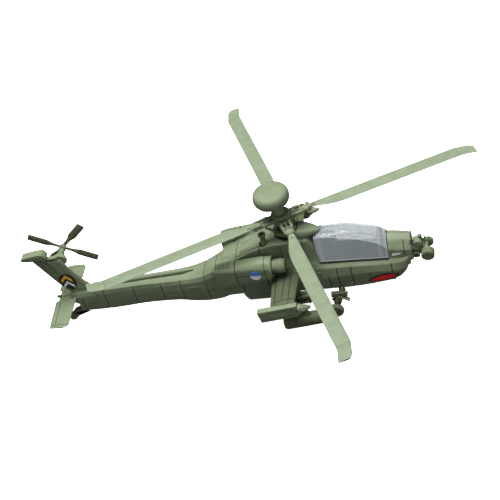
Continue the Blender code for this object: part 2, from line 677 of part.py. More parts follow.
def tail_gearbox():
    """Fairing on the fin's left face, drawn out into the shaft housing that reaches to the tail rotor."""
    near = FIN_HALF_THICKNESS + GAP
    end = TAIL_ROTOR_Y - 0.9
    levels = [(near, 3.6, 2.0), (near + 0.9, 3.2, 1.8), (near + 1.6, 1.9, 1.6), (near + 2.4, 1.5, 1.5),
              (end, TAIL_SHAFT_RADIUS, TAIL_SHAFT_RADIUS)]
    rings = []
    for y, half_x, half_z in levels:
        rings.append([(TAIL_ROTOR_X + half_x * math.cos(a), y, TAIL_ROTOR_Z + half_z * math.sin(a))
                      for a in (step * math.tau / 16 for step in range(16))])
    return loft("tail_gearbox", rings, MATERIALS["sage"])


def tail_blade_pair(name, degrees, y, spin):
    """Two opposite blades in one strip, narrow across the hub."""
    half_chord = TAIL_BLADE_CHORD / 2
    plan = [(-TAIL_ROTOR_RADIUS, half_chord), (-6.2, half_chord), (-4.2, 0.75), (-2.2, 0.6), (2.2, 0.6),
            (4.2, 0.75), (6.2, half_chord), (TAIL_ROTOR_RADIUS, half_chord)]
    half = TAIL_BLADE_THICKNESS / 2
    a = math.radians(degrees)
    rings = []
    for radius, across in plan:
        ring = []
        for offset, depth in ((-across, 0.0), (-across * 0.5, half), (across * 0.5, half), (across, 0.0),
                              (across * 0.5, -half), (-across * 0.5, -half)):
            ring.append((radius * math.cos(a) - offset * math.sin(a), y + depth,
                         radius * math.sin(a) + offset * math.cos(a)))
        rings.append(ring)
    return loft(name, rings, MATERIALS["olive"], spin)


def tail_rotor():
    """Two blade pairs, one behind the other, on a round hub."""
    spin = empty("tail_rotor_axis", TAIL_ROTOR_X, TAIL_ROTOR_Y, TAIL_ROTOR_Z, DATUM)
    step = TAIL_BLADE_THICKNESS + GAP
    rod("tail_rotor_hub", 1.3, 0.6, (0, -0.45, 0), "Y", MATERIALS["olive"], spin, segments=18)
    inner_y = -0.15 + GAP + TAIL_BLADE_THICKNESS / 2
    tail_blade_pair("tail_blades_inner", TAIL_PAIR_ANGLES[0], inner_y, spin)
    tail_blade_pair("tail_blades_outer", TAIL_PAIR_ANGLES[1], inner_y + step, spin)


def tailplane():
    """One-piece tailplane that passes behind the boom's end."""
    half = TAILPLANE_THICKNESS / 2
    lead = TAIL_END_X - 0.4
    tip = TAILPLANE_HALF_SPAN
    right = [(tip, lead - 1.6, -95.8, 0.25), (tip - 1.2, lead - 0.3, -96.1, half),
             (3.4, lead, -96.9, half), (2.4, lead, -95.7, half)]
    plan = [(-y, front, rear, thick) for y, front, rear, thick in right] + right[::-1]
    rings = []
    for y, front, rear, thick in plan:
        chord = front - rear
        rings.append([(front, y, TAILPLANE_Z), (front - 0.25 * chord, y, TAILPLANE_Z + thick),
                      (rear, y, TAILPLANE_Z + 0.15), (rear, y, TAILPLANE_Z - 0.15),
                      (front - 0.25 * chord, y, TAILPLANE_Z - thick)])
    return loft("tailplane", rings, MATERIALS["sage"])


# ---------------------------------------------------------------- engines

def nacelle(side, sign):
    """Engine housing beside the body: stations of x, top z, outer crease z, bottom z and outer y."""
    stations = [(NACELLE_REAR_X, 29.2, 28.6, 18.8, 11.4), (-24.6, 29.8, 28.9, 19.2, 11.9),
                (-15.0, 30.8, 29.2, 20.9, 12.5), (-9.0, 31.2, 29.0, 21.9, 12.4),
                (NACELLE_FRONT_X, 30.8, 28.4, 22.4, 12.0)]
    inner = NACELLE_INNER_Y
    rings = []
    for x, top, crease, bottom, outer in stations:
        section = [(inner, bottom + 1.2), (inner + 1.0, bottom), (outer - 1.8, bottom), (outer, bottom + 2.0),
                   (outer, crease), (outer - 1.3, top - 0.5), (outer - 2.6, top), (inner + 1.4, top),
                   (inner, top - 0.9)]
        rings.append([(x, sign * y, z) for y, z in section])
    loft(f"nacelle_{side}", rings, MATERIALS["sage"])


def intake(side, sign):
    """Turned lip with the round intake core, cut flat where it passes the body."""
    well = INTAKE_RADIUS + 1.1
    face = LIP_LENGTH
    well_floor = face - 0.9
    nose_end = face + INTAKE_LENGTH - 0.7
    profile = [(0.0, nose_end), (INTAKE_RADIUS - 0.6, nose_end), (INTAKE_RADIUS, nose_end - 0.6),
               (INTAKE_RADIUS, well_floor), (well, well_floor), (well + 0.3, face), (LIP_RADIUS - 0.5, face),
               (LIP_RADIUS, face - 0.8), (LIP_RADIUS, 0.0), (0.0, 0.0)]
    place = (NACELLE_FRONT_X + GAP, sign * NACELLE_Y, NACELLE_Z)
    piece = turned(f"intake_{side}", profile, MATERIALS["sage"], DATUM, "X", 28, place)
    reach = 2 * LIP_RADIUS
    cut_y = sign * (NACELLE_INNER_Y - reach / 2)
    beside_body = box_bmesh((reach, reach, 2 * reach), (place[0], cut_y, NACELLE_Z))
    boolean(piece, cutter_mesh(f"intake_flat_{side}", beside_body))


# ---------------------------------------------------------------- wings and stores

def wing_tilt():
    return Matrix.Rotation(math.radians(-WING_INCIDENCE), 3, "Y")


def wing_ring(y, chord, thickness, sign):
    half = thickness / 2
    shape = [(chord / 2, 0.0), (0.36 * chord, half * 0.8), (0.1 * chord, half), (-chord / 2, 0.25),
             (-chord / 2, -0.25), (0.1 * chord, -half), (0.36 * chord, -half * 0.8)]
    tilt = wing_tilt()
    middle = Vector((WING_MID_X, sign * y, WING_MID_Z))
    return [tuple(middle + tilt @ Vector((x, 0, z))) for x, z in shape]


def tilted_box(name, size, centre, material):
    return box(name, size, centre, material, turn=wing_tilt())


def along_store(x, z, distance):
    """Point a distance ahead along a store's tilted axis."""
    a = math.radians(WING_INCIDENCE)
    return x + distance * math.cos(a), z + distance * math.sin(a)


def store_axis():
    return wing_tilt() @ AXIS_TURNS["X"]


def wing(side, sign):
    rings = [wing_ring(WING_ROOT_Y, WING_ROOT_CHORD, WING_THICKNESS, sign),
             wing_ring(WING_HALF_SPAN, WING_TIP_CHORD, WING_THICKNESS * 0.8, sign)]
    loft(f"wing_{side}", rings, MATERIALS["sage"])


def tip_launcher(side, sign):
    y = sign * (WING_HALF_SPAN + GAP + LAUNCHER_WIDTH / 2)
    centre_x, centre_z = WING_MID_X - 1.6, WING_MID_Z - 2.0
    bevel(tilted_box(f"tip_launcher_{side}", (LAUNCHER_LENGTH, LAUNCHER_WIDTH, LAUNCHER_HEIGHT),
                     (centre_x, y, centre_z), MATERIALS["sage"]), 0.35)
    ahead = LAUNCHER_LENGTH / 2 + GAP + SEEKER_LENGTH / 2
    x, z = along_store(centre_x, centre_z, ahead)
    rod(f"tip_seeker_{side}", 1.35, SEEKER_LENGTH, (x, y, z), store_axis(), MATERIALS["sage"], segments=16,
        end_radius=0.45)


def rocket_pod(side, sign):
    y = sign * POD_Y
    half = POD_LENGTH / 2
    profile = [(0.0, half), (POD_RADIUS - 1.0, half), (POD_RADIUS - 0.3, half - 0.8), (POD_RADIUS, half - 2.0),
               (POD_RADIUS, -half + 0.6), (POD_RADIUS - 0.4, -half), (0.0, -half)]
    pod = turned(f"rocket_pod_{side}", profile, MATERIALS["olive"], DATUM, "X", 24, (POD_X, y, POD_Z))
    pod.rotation_euler = store_axis().to_euler()
    foot_z = POD_Z + POD_RADIUS + 1.5 * GAP
    loft(f"outer_pylon_{side}", pylon_rings(y, POD_X - 1.0, foot_z), MATERIALS["olive"])


def pylon_rings(y, x, foot_z):
    """Strut from a store up to the underside of the wing."""
    underside = WING_MID_Z - WING_THICKNESS / 2 - GAP
    slope = math.tan(math.radians(WING_INCIDENCE))
    reach = PYLON_LENGTH / 2
    head_rear, head_front = WING_MID_X - reach, WING_MID_X + reach
    outline = [(x - reach, foot_z - reach * slope), (x + reach, foot_z + reach * slope),
               (head_front, underside + reach * slope - 0.1), (head_rear, underside - reach * slope - 0.1)]
    half = PYLON_WIDTH / 2
    return [[(px, y + across, pz) for px, pz in outline] for across in (-half, half)]


def missile_rack(side, sign):
    """Inner store: a rack of four short tubes, moulded with its pylon."""
    y = sign * RACK_Y
    rack = tilted_box(f"missile_rack_{side}", (RACK_LENGTH, RACK_WIDTH, RACK_HEIGHT), (RACK_X, y, RACK_Z),
                      MATERIALS["olive"])
    strut = cutter_mesh(f"inner_pylon_{side}", loft_bmesh(pylon_rings(y, RACK_X - 1.0, RACK_Z)))
    boolean(rack, strut, "UNION")


# ---------------------------------------------------------------- landing gear, belly and gun

def main_gear(side, sign):
    """Bent leg with the axle stub moulded on, and the wheel that turns on it."""
    knee = Vector((14.6, sign * 8.9, 7.6))
    inner_face = WHEEL_Y - WHEEL_WIDTH / 2 - GAP
    route = [(16.4, sign * 6.6, 9.6), tuple(knee), (WHEEL_X, sign * (inner_face - 0.8), WHEEL_RADIUS + 1.2),
             (WHEEL_X, sign * (inner_face - 0.8), WHEEL_RADIUS - 0.9)]
    rings = []
    for point, taper in zip(route, (1.25, 1.0, 0.9, 0.9)):
        centre = Vector(point)
        radius = LEG_RADIUS * taper
        ring = []
        for step in range(10):
            a = step * math.tau / 10
            ring.append(tuple(centre + Vector((radius * math.cos(a), radius * math.sin(a), 0))))
        rings.append(ring)
    leg = loft(f"gear_leg_{side}", rings, MATERIALS["olive"])
    stub_end = WHEEL_Y + WHEEL_WIDTH / 2 - 0.3
    stub_start = inner_face - 0.8
    stub_middle = (WHEEL_X, sign * (stub_end + stub_start) / 2, WHEEL_RADIUS)
    stub = rod_bmesh(AXLE_RADIUS, stub_end - stub_start, stub_middle, "Y", 14)
    boolean(leg, cutter_mesh(f"axle_stub_{side}", stub), "UNION")
    wheel(f"wheel_{side}", (WHEEL_X, sign * WHEEL_Y, WHEEL_RADIUS), WHEEL_RADIUS, WHEEL_WIDTH,
          AXLE_RADIUS + RUNNING_GAP)


def wheel(name, place, radius, width, bore):
    half = width / 2
    crown = radius - 0.12 * radius
    profile = [(bore, half), (crown, half), (radius - 0.02 * radius, half * 0.6), (radius, half * 0.2),
               (radius, -half * 0.2), (radius - 0.02 * radius, -half * 0.6), (crown, -half), (bore, -half),
               (bore, half)]
    return turned(name, profile, MATERIALS["olive"], DATUM, "Y", 28, place)


def tail_gear():
    """Strut behind the boom with two fork arms, the axle pin and the wheel."""
    inner = TAIL_WHEEL_WIDTH / 2 + GAP
    outer = inner + FORK_THICKNESS
    axle_z = TAIL_WHEEL_RADIUS
    outline = [(-87.4, FORK_TOP_Z), (-84.6, FORK_TOP_Z), (-90.6, axle_z + 0.6), (-93.2, axle_z - 0.9),
               (-95.2, axle_z - 0.9), (-95.2, axle_z + 0.9), (-92.6, axle_z + 3.2)]
    rings = [[(x, y, z) for x, z in outline] for y in (-outer, outer)]
    fork = loft("tail_fork", rings, MATERIALS["olive"])
    slot_radius = TAIL_WHEEL_RADIUS + 0.5
    slot = rod_bmesh(slot_radius, 2 * inner, (TAIL_WHEEL_X, 0, axle_z), "Y", 24)
    boolean(fork, cutter_mesh("fork_slot", slot))
    hole = rod_bmesh(TAIL_AXLE_RADIUS + GAP / 2, 4 * outer, (TAIL_WHEEL_X, 0, axle_z), "Y", 14)
    boolean(fork, cutter_mesh("fork_hole", hole))
    rod("tail_axle", TAIL_AXLE_RADIUS, 2 * outer, (TAIL_WHEEL_X, 0, axle_z), "Y", MATERIALS["olive"],
        segments=12)
    wheel("tail_wheel", (TAIL_WHEEL_X, 0, axle_z), TAIL_WHEEL_RADIUS, TAIL_WHEEL_WIDTH,
          TAIL_AXLE_RADIUS + RUNNING_GAP)


def stand_block():
    """Flat-bottomed block under the belly that a display stand pushes onto."""
    half = STAND_BLOCK_HALF_WIDTH
    top = STAND_BLOCK_TOP_Z
    stations = [(STAND_BLOCK_REAR_X - 1.6, top - 0.8), (STAND_BLOCK_REAR_X, STAND_BLOCK_BOTTOM_Z),
                (STAND_BLOCK_FRONT_X, STAND_BLOCK_BOTTOM_Z), (STAND_BLOCK_FRONT_X + 1.2, top - 0.8)]
    rings = [[(x, -half + 0.6, low), (x, half - 0.6, low), (x, half, top - 0.4), (x, half, top),
              (x, -half, top), (x, -half, top - 0.4)] for x, low in stations]
    return loft("stand_block", rings, MATERIALS["sage"])


def gun():
    """Chain gun under the nose: its peg snaps through the keel, so that the gun turns on it."""
    swivel = empty("gun_axis", GUN_X, 0, 0, DATUM)
    head = box("chain_gun", (6.0, 2.2, 1.8), (0.2, 0, GUN_Z), MATERIALS["olive"], swivel)
    peg_top = GUN_KEEL_TOP_Z + GUN_PEG_HEAD + GAP
    peg = rod_bmesh(GUN_PEG_RADIUS, peg_top - GUN_Z, (GUN_X, 0, (peg_top + GUN_Z) / 2), "Z", 16)
    boolean(head, cutter_mesh("gun_peg", peg), "UNION")
    rim = rod_bmesh(GUN_PEG_RADIUS + 0.8, GUN_PEG_HEAD, (GUN_X, 0, peg_top), "Z", 16)
    boolean(head, cutter_mesh("gun_peg_head", rim), "UNION")
    barrel = rod_bmesh(0.55, 9.0, (GUN_X + 6.8, 0, GUN_Z), "X", 12)
    boolean(head, cutter_mesh("gun_barrel", barrel), "UNION")


def build():
    both_sides(body_half)
    cockpit()
    nose()
    mast_fairing()
    mast()
    radome()
    main_rotor()
    tail_fin()
    fin_cap()
    tail_gearbox()
    tail_rotor()
    tailplane()
    for piece in (nacelle, intake, wing, tip_launcher, rocket_pod, missile_rack, main_gear):
        both_sides(piece)
    tail_gear()
    stand_block()
    gun()


clear_scene()
PARTS = new_collection(PART_NAME)
CUTTERS = new_collection("cutters")
MATERIALS = {
    "sage": plastic("sage_plastic", SAGE),
    "olive": plastic("olive_plastic", OLIVE),
    "dark": plastic("dark_plastic", DARK),
    "figure": plastic("figure_plastic", FIGURE),
    "clear": plastic("clear_plastic", CLEAR, 0.08, 0.9),
}
DATUM = empty("datum", ROTOR_AXIS_X, 0, 0)
COCKPIT_CUTTER, WELL_CUTTER, PEG_CUTTER = body_cutters()
build()
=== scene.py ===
import json
import math

import bmesh
import bpy
from mathutils import Matrix, Vector
from mathutils.bvhtree import BVHTree


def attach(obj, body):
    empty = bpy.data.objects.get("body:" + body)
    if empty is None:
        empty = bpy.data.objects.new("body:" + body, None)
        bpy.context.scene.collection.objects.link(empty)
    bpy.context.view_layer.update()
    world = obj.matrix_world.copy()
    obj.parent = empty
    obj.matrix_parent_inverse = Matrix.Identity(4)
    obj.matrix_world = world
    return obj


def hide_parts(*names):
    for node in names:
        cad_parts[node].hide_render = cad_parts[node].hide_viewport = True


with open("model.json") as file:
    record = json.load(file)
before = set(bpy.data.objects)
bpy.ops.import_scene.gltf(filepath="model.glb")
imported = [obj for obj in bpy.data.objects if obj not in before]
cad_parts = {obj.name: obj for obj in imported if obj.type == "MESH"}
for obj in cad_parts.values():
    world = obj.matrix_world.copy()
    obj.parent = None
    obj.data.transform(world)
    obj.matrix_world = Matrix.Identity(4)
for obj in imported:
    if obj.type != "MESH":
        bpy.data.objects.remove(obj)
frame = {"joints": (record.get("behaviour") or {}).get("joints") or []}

MM = 0.001
JOINTS = {joint["name"]: joint for joint in frame["joints"]}
AXIS_X = JOINTS["main_rotor_spin"]["pos_m"][0] / MM
HUB_Z = JOINTS["main_rotor_spin"]["pos_m"][2] / MM
TAIL_AXIS = [value / MM for value in JOINTS["tail_rotor_spin"]["pos_m"]]
TAIL_AXIS[0] -= AXIS_X


def save_size():
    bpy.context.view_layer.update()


save_size()


# ---------------------------------------------------------------- materials

def feed(tree, target, inputs):
    """Sets a node's inputs: another node's output is linked, anything else is the value itself."""
    for name, value in inputs.items():
        if isinstance(value, bpy.types.NodeSocket):
            tree.links.new(value, target.inputs[name])
        else:
            target.inputs[name].default_value = value


def node(tree, kind, inputs=None, **settings):
    """Adds a shader node and gives its outputs."""
    made = tree.nodes.new(kind)
    for name, value in settings.items():
        setattr(made, name, value)
    feed(tree, made, inputs or {})
    return made.outputs


def noise(tree, scale, detail):
    place = node(tree, "ShaderNodeTexCoord")["Object"]
    return node(tree, "ShaderNodeTexNoise", {"Scale": scale, "Detail": detail, "Vector": place})["Fac"]


def mix(tree, factor, first, second):
    return node(tree, "ShaderNodeMix", {"Factor": factor, "A": first, "B": second},
        data_type="RGBA")["Result"]


def relief(tree, height, strength, distance):
    return node(tree, "ShaderNodeBump", {"Strength": strength, "Distance": distance,
        "Height": height})["Normal"]


def shaded(colour, share, lift=0.0):
    """A colour made darker or lighter, with full alpha."""
    return (*(min(1.0, c * share + lift) for c in colour), 1.0)


def plastic(name):
    material = bpy.data.materials.new(name)
    material.use_nodes = True
    return material, material.node_tree, material.node_tree.nodes["Principled BSDF"]


def moulded(name, colour, roughness=0.5, grain=0.22, bump=0.35):
    """Matte moulded plastic with soft mottling, a fine grain, darker joints and a painted highlight on convex
    edges.
    """
    material, tree, shader = plastic(name)
    mottle = noise(tree, 260.0, 6.0)
    ramp = tree.nodes.new("ShaderNodeValToRGB")
    for element, position, share in zip(ramp.color_ramp.elements, (0.3, 0.72), (-0.5, 0.35)):
        element.position = position
        element.color = shaded(colour, 1.0 + grain * share)
    tree.links.new(mottle, ramp.inputs["Fac"])
    joint = node(tree, "ShaderNodeAttribute", attribute_name="groove")["Fac"]
    dark = mix(tree, joint, ramp.outputs["Color"], shaded(colour, 0.24))
    # Painted highlight: convex edges, found by pointiness, are mixed towards a lighter copy of the colour.
    pointed = node(tree, "ShaderNodeNewGeometry")["Pointiness"]
    edge = node(tree, "ShaderNodeMapRange", {"From Min": 0.52, "From Max": 0.66, "To Max": 0.35,
        "Value": pointed})["Result"]
    gloss = node(tree, "ShaderNodeMapRange", {"To Min": roughness - 0.06, "To Max": roughness + 0.10,
        "Value": mottle})["Result"]
    feed(tree, shader, {"Base Color": mix(tree, edge, dark, shaded(colour, 1.5, 0.03)), "Roughness": gloss,
        "Normal": relief(tree, noise(tree, 5200.0, 3.0), bump, 0.00004), "Metallic": 0.0,
        "Specular IOR Level": 0.22})
    return material


def clear_plastic(name, colour, alpha, roughness, streak, top):
    """Thin, slightly milky clear plastic with faint streaks, and painted shade where it faces up: there the
    colour is scaled by the top factor.
    """
    material, tree, shader = plastic(name)
    wave = noise(tree, 60.0, 1.0)
    level = node(tree, "ShaderNodeMapRange", {"To Min": alpha - streak, "To Max": alpha + streak,
        "Value": wave})["Result"]
    # Painted shade: where the surface faces up, the colour is mixed towards a darker copy scaled by the top
    # factor.
    normal = node(tree, "ShaderNodeNewGeometry")["Normal"]
    upward = node(tree, "ShaderNodeSeparateXYZ", {"Vector": normal})["Z"]
    painted_shade_up = node(tree, "ShaderNodeMapRange", {"From Min": 0.25, "From Max": 0.8, "Value": upward})["Result"]
    feed(tree, shader, {"Base Color": mix(tree, painted_shade_up, shaded(colour, 1.0), shaded(colour, top)),
        "Alpha": level, "Normal": relief(tree, wave, 0.02, 0.0002), "Roughness": roughness, "Metallic": 0.0,
        "Specular IOR Level": 0.3})
    return material


SAGE = moulded("sage_plastic", (0.152, 0.188, 0.112))
PALE = moulded("pale_sage_plastic", (0.170, 0.210, 0.134), roughness=0.55)
OLIVE = moulded("olive_plastic", (0.112, 0.139, 0.077))
# Painted shade: SHADE is a darker copy of the olive plastic for parts that sit in shade, such as the stub
# wings, stores, racks, gear, louvres and mast cup.
SHADE = moulded("painted_shade_olive_plastic", (0.072, 0.089, 0.046), roughness=0.6)
WHEEL = moulded("wheel_plastic", (0.095, 0.115, 0.072), roughness=0.6)
COCKPIT = moulded("cockpit_plastic", (0.085, 0.100, 0.095), roughness=0.6)
FIGURE = moulded("figure_plastic", (0.20, 0.24, 0.24), roughness=0.45)
# Painted shade: BLACK is near-black, laid in holes, gaps and openings where there is only shade.
BLACK = moulded("painted_shade_black", (0.012, 0.014, 0.011), roughness=0.7, bump=0.1)
# The last value of each canopy material is the painted shade on surfaces that face up.
GLASS = clear_plastic("canopy_clear", (0.54, 0.61, 0.63), 0.50, 0.10, 0.02, 0.50)
FROST = clear_plastic("canopy_frosted", (0.60, 0.61, 0.66), 0.56, 0.40, 0.03, 0.55)
LENS = moulded("lens_dark", (0.010, 0.012, 0.014), roughness=0.14, bump=0.02)
WHITE = moulded("marking_white", (0.80, 0.80, 0.79), grain=0.06, bump=0.1)
SKY = moulded("marking_blue", (0.06, 0.20, 0.66), grain=0.06, bump=0.1)
RED = moulded("marking_red", (0.80, 0.010, 0.014), grain=0.06, bump=0.1)
YELLOW = moulded("marking_yellow", (0.78, 0.46, 0.03), grain=0.06, bump=0.1)
INK = moulded("marking_black", (0.02, 0.02, 0.022), grain=0.06, bump=0.1)


# ---------------------------------------------------------------- shapes (millimetres from the rotor axis)

BEVEL_ANGLE = 34.0
SHARP_ANGLE = 32.0
GROOVE_HALF = 0.12
GROOVE_ROWS = (-0.24, -0.09, 0.09, 0.24)
DECAL_LIFT = 0.035
DECAL_STEP = 0.045
ORIGIN = (0, 0, 0)
UP = (0, 0, 1)
LEFTWARD = (0, 1, 0)
AIRFRAME = "airframe"
SIDES = (("left", 1), ("right", -1))


def circle(count, start=0.0):
    """Cosine and sine of evenly spaced angles round a circle."""
    return [(math.cos(a), math.sin(a)) for a in (step * math.tau / count + start for step in range(count))]


def pitched(degrees):
    return Matrix.Rotation(math.radians(degrees), 3, "Y")


def headed(degrees):
    return Matrix.Rotation(math.radians(degrees), 3, "Z")


def bridge(bm, rows):
    """Faces between each row of points and the next, closed round."""
    for row, following in zip(rows, rows[1:]):
        for index, here in enumerate(row):
            after = (index + 1) % len(row)
            bm.faces.new((here, row[after], following[after], following[index]))


def loft(bm, rings):
    """Closed solid through rings of points, flat at both ends."""
    rows = [[bm.verts.new(point) for point in ring] for ring in rings]
    bridge(bm, rows)
    bm.faces.new(rows[0])
    bm.faces.new(rows[-1])


def block(bm, size, centre, turn=None):
    made = bmesh.ops.create_cube(bm, size=1.0)["verts"]
    bmesh.ops.scale(bm, vec=Vector(size), verts=made)
    if turn is not None:
        bmesh.ops.rotate(bm, cent=(0, 0, 0), matrix=turn, verts=made)
    bmesh.ops.translate(bm, vec=Vector(centre), verts=made)


def rod(bm, start, end, radius, end_radius=None, sides=16):
    start, end = Vector(start), Vector(end)
    run = end - start
    made = bmesh.ops.create_cone(bm, cap_ends=True, segments=sides, radius1=radius,
        radius2=radius if end_radius is None else end_radius, depth=run.length)["verts"]
    bmesh.ops.rotate(bm, cent=(0, 0, 0), matrix=run.to_track_quat("Z", "Y").to_matrix(), verts=made)
    bmesh.ops.translate(bm, vec=(start + end) / 2, verts=made)


def turned(bm, profile, centre, axis, sides=32):
    """Closed solid of revolution from (radius, height) points; radius 0 at both ends."""
    quat = Vector(axis).to_track_quat("Z", "Y")
    loft(bm, [[Vector(centre) + quat @ Vector((radius * c, radius * s, height)) for c, s in circle(sides)]
        for radius, height in profile])


def ring_solid(bm, profile, centre, axis, sides=32):
    """Ring turned from a closed (radius, height) profile."""
    quat = Vector(axis).to_track_quat("Z", "Y")
    rows = [[bm.verts.new(Vector(centre) + quat @ Vector((radius * c, radius * s, height)))
        for radius, height in profile] for c, s in circle(sides)]
    bridge(bm, rows + rows[:1])


def sweep(bm, points, radius, sides=10):
    """Round bar along a path; radius is one value or one for each point."""
    points = [Vector(point) for point in points]
    radii = radius if isinstance(radius, (list, tuple)) else [radius] * len(points)
    rings = []
    side = None
    for index, point in enumerate(points):
        before, after = points[max(index - 1, 0)], points[min(index + 1, len(points) - 1)]
        along = (after - before).normalized()
        if side is None:
            side = along.cross(Vector(UP if abs(along.z) < 0.9 else LEFTWARD)).normalized()
        side = (side - along * side.dot(along)).normalized()
        other = along.cross(side)
        rings.append([point + (side * c + other * s) * radii[index] for c, s in circle(sides)])
    loft(bm, rings)


def prism(bm, outline, low, high, plane="XZ"):
    """Flat outline drawn out along the third axis."""
    loft(bm, [[(a, level, b) if plane == "XZ" else (level, a, b) for a, b in outline]
        for level in (low, high)])


def ball(bm, centre, radii, sides=20):
    made = bmesh.ops.create_uvsphere(bm, u_segments=sides, v_segments=sides // 2, radius=1.0)["verts"]
    bmesh.ops.scale(bm, vec=Vector(radii), verts=made)
    bmesh.ops.translate(bm, vec=Vector(centre), verts=made)


def added(name, bm, material):
    """New object in the scene from a finished shape."""
    mesh = bpy.data.meshes.new(name)
    bm.to_mesh(mesh)
    bm.free()
    mesh.materials.append(material)
    obj = bpy.data.objects.new(name, mesh)
    bpy.context.scene.collection.objects.link(obj)
    return obj


def to_metres(bm):
    """Takes a shape from millimetres round the rotor axis to the shared frame."""
    bmesh.ops.recalc_face_normals(bm, faces=bm.faces)
    bmesh.ops.scale(bm, vec=(MM, MM, MM), verts=bm.verts)
    bmesh.ops.translate(bm, vec=(AXIS_X * MM, 0, 0), verts=bm.verts)
    return bm


def piece(name, bm, material, replaces=(), body=AIRFRAME, bevel=0.0, sharp=SHARP_ANGLE):
    """Turns a shape into a shown piece that rides on a body and stands for the named CAD nodes."""
    obj = added(name, to_metres(bm), material)
    if bevel:
        modifier = obj.modifiers.new("edge", "BEVEL")
        modifier.width = bevel * MM
        modifier.segments = 2
        modifier.limit_method = "ANGLE"
        modifier.angle_limit = math.radians(BEVEL_ANGLE)
        bake(obj)
    obj.data.shade_smooth()
    obj.data.set_sharp_from_angle(angle=math.radians(sharp))
    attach(obj, body)
    if replaces:
        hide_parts(*replaces)
    return obj


def bake(obj):
    """Applies an object's modifiers to its mesh."""
    bpy.context.view_layer.update()
    made = bpy.data.meshes.new_from_object(obj.evaluated_get(bpy.context.evaluated_depsgraph_get()))
    obj.modifiers.clear()
    old = obj.data
    obj.data = made
    bpy.data.meshes.remove(old)


def cut(obj, bm, operation="DIFFERENCE", sharp=SHARP_ANGLE):
    """Cuts a shape away from a piece, or joins it on."""
    tool = added("tool", to_metres(bm), obj.data.materials[0])
    modifier = obj.modifiers.new("cut", "BOOLEAN")
    modifier.operation = operation
    modifier.solver = "EXACT"
    modifier.object = tool
    modifier.use_self = True
    bake(obj)
    bpy.data.objects.remove(tool, do_unlink=True)
    obj.data.set_sharp_from_angle(angle=math.radians(sharp))


def monotone(xs, ys):
    """Smooth curve through points that never overshoots them."""
    steps = [(ys[i + 1] - ys[i]) / (xs[i + 1] - xs[i]) for i in range(len(xs) - 1)]
    slopes = [steps[0]]
    for before, after in zip(steps, steps[1:]):
        slopes.append(0.0 if before * after <= 0 else 2 * before * after / (before + after))
    slopes.append(steps[-1])

    def value(x):
        i = 0
        while i < len(xs) - 2 and x > xs[i + 1]:
            i += 1
        h = xs[i + 1] - xs[i]
        t = min(max((x - xs[i]) / h, 0.0), 1.0)
        return ((1 + 2 * t) * (1 - t) ** 2 * ys[i] + t * (1 - t) ** 2 * h * slopes[i]
                + t * t * (3 - 2 * t) * ys[i + 1] + t * t * (t - 1) * h * slopes[i + 1])
    return value


def curves_through(stations):
    """One smooth curve over the first value of the stations for each value that follows."""
    xs, *columns = zip(*stations)
    return [monotone(xs, ys) for ys in columns]


def rows_between(low, high, step, lines):
    """Places along a skin: even steps, with four close rows at each joint line."""
    count = max(2, round((high - low) / step))
    even = [low + (high - low) * index / count for index in range(count + 1)]
    close = [line + shift for line in lines for shift in GROOVE_ROWS]
    kept = [x for x in even[1:-1] if all(abs(x - line) > 0.4 for line in lines)]
    return sorted([low, high] + kept + close)


def corner_steps(outline, radius, closed, lengthwise):
    """Positions round an outline, in corners: rounded corners, and close columns at each lengthwise line."""
    count = len(outline)
    reach = {}
    ts = [] if closed else [0.0, float(count - 1)]
    for i in range(count):
        if not closed and i in (0, count - 1):
            continue
        here = Vector(outline[i])
        before = (Vector(outline[i - 1]) - here).length
        after = (Vector(outline[(i + 1) % count]) - here).length
        reach[i] = (min(0.42, radius / max(before, 0.01)), min(0.42, radius / max(after, 0.01)))
        for share in (-1.0, -0.5, 0.0, 0.5, 1.0):
            ts.append(i + share * (reach[i][0] if share < 0 else reach[i][1]))
    if closed:
        ts = [t % count for t in ts]
    for line in lengthwise:
        i = int(line)
        run = (Vector(outline[(i + 1) % count]) - Vector(outline[i])).length
        for shift in GROOVE_ROWS:
            ts.append(line + shift / max(run, 0.3))
    return sorted(set(round(t, 5) for t in ts)), reach


def outline_point(outline, t, reach, closed):
    count = len(outline)
    nearest = int(math.floor(t + 0.5))
    i = nearest % count
    if i in reach and (closed or 0 < nearest < count - 1):
        before, after = reach[i]
        shift = t - nearest
        if -before <= shift <= after:
            here = Vector(outline[i])
            first = here.lerp(Vector(outline[i - 1]), before)
            last = here.lerp(Vector(outline[(i + 1) % count]), after)
            s = (shift + before) / (before + after)
            return first * (1 - s) ** 2 + here * (2 * s * (1 - s)) + last * s * s
    low = int(math.floor(t))
    low = min(low, count - 2) if not closed else low
    return Vector(outline[low % count]).lerp(Vector(outline[(low + 1) % count]), t - low)


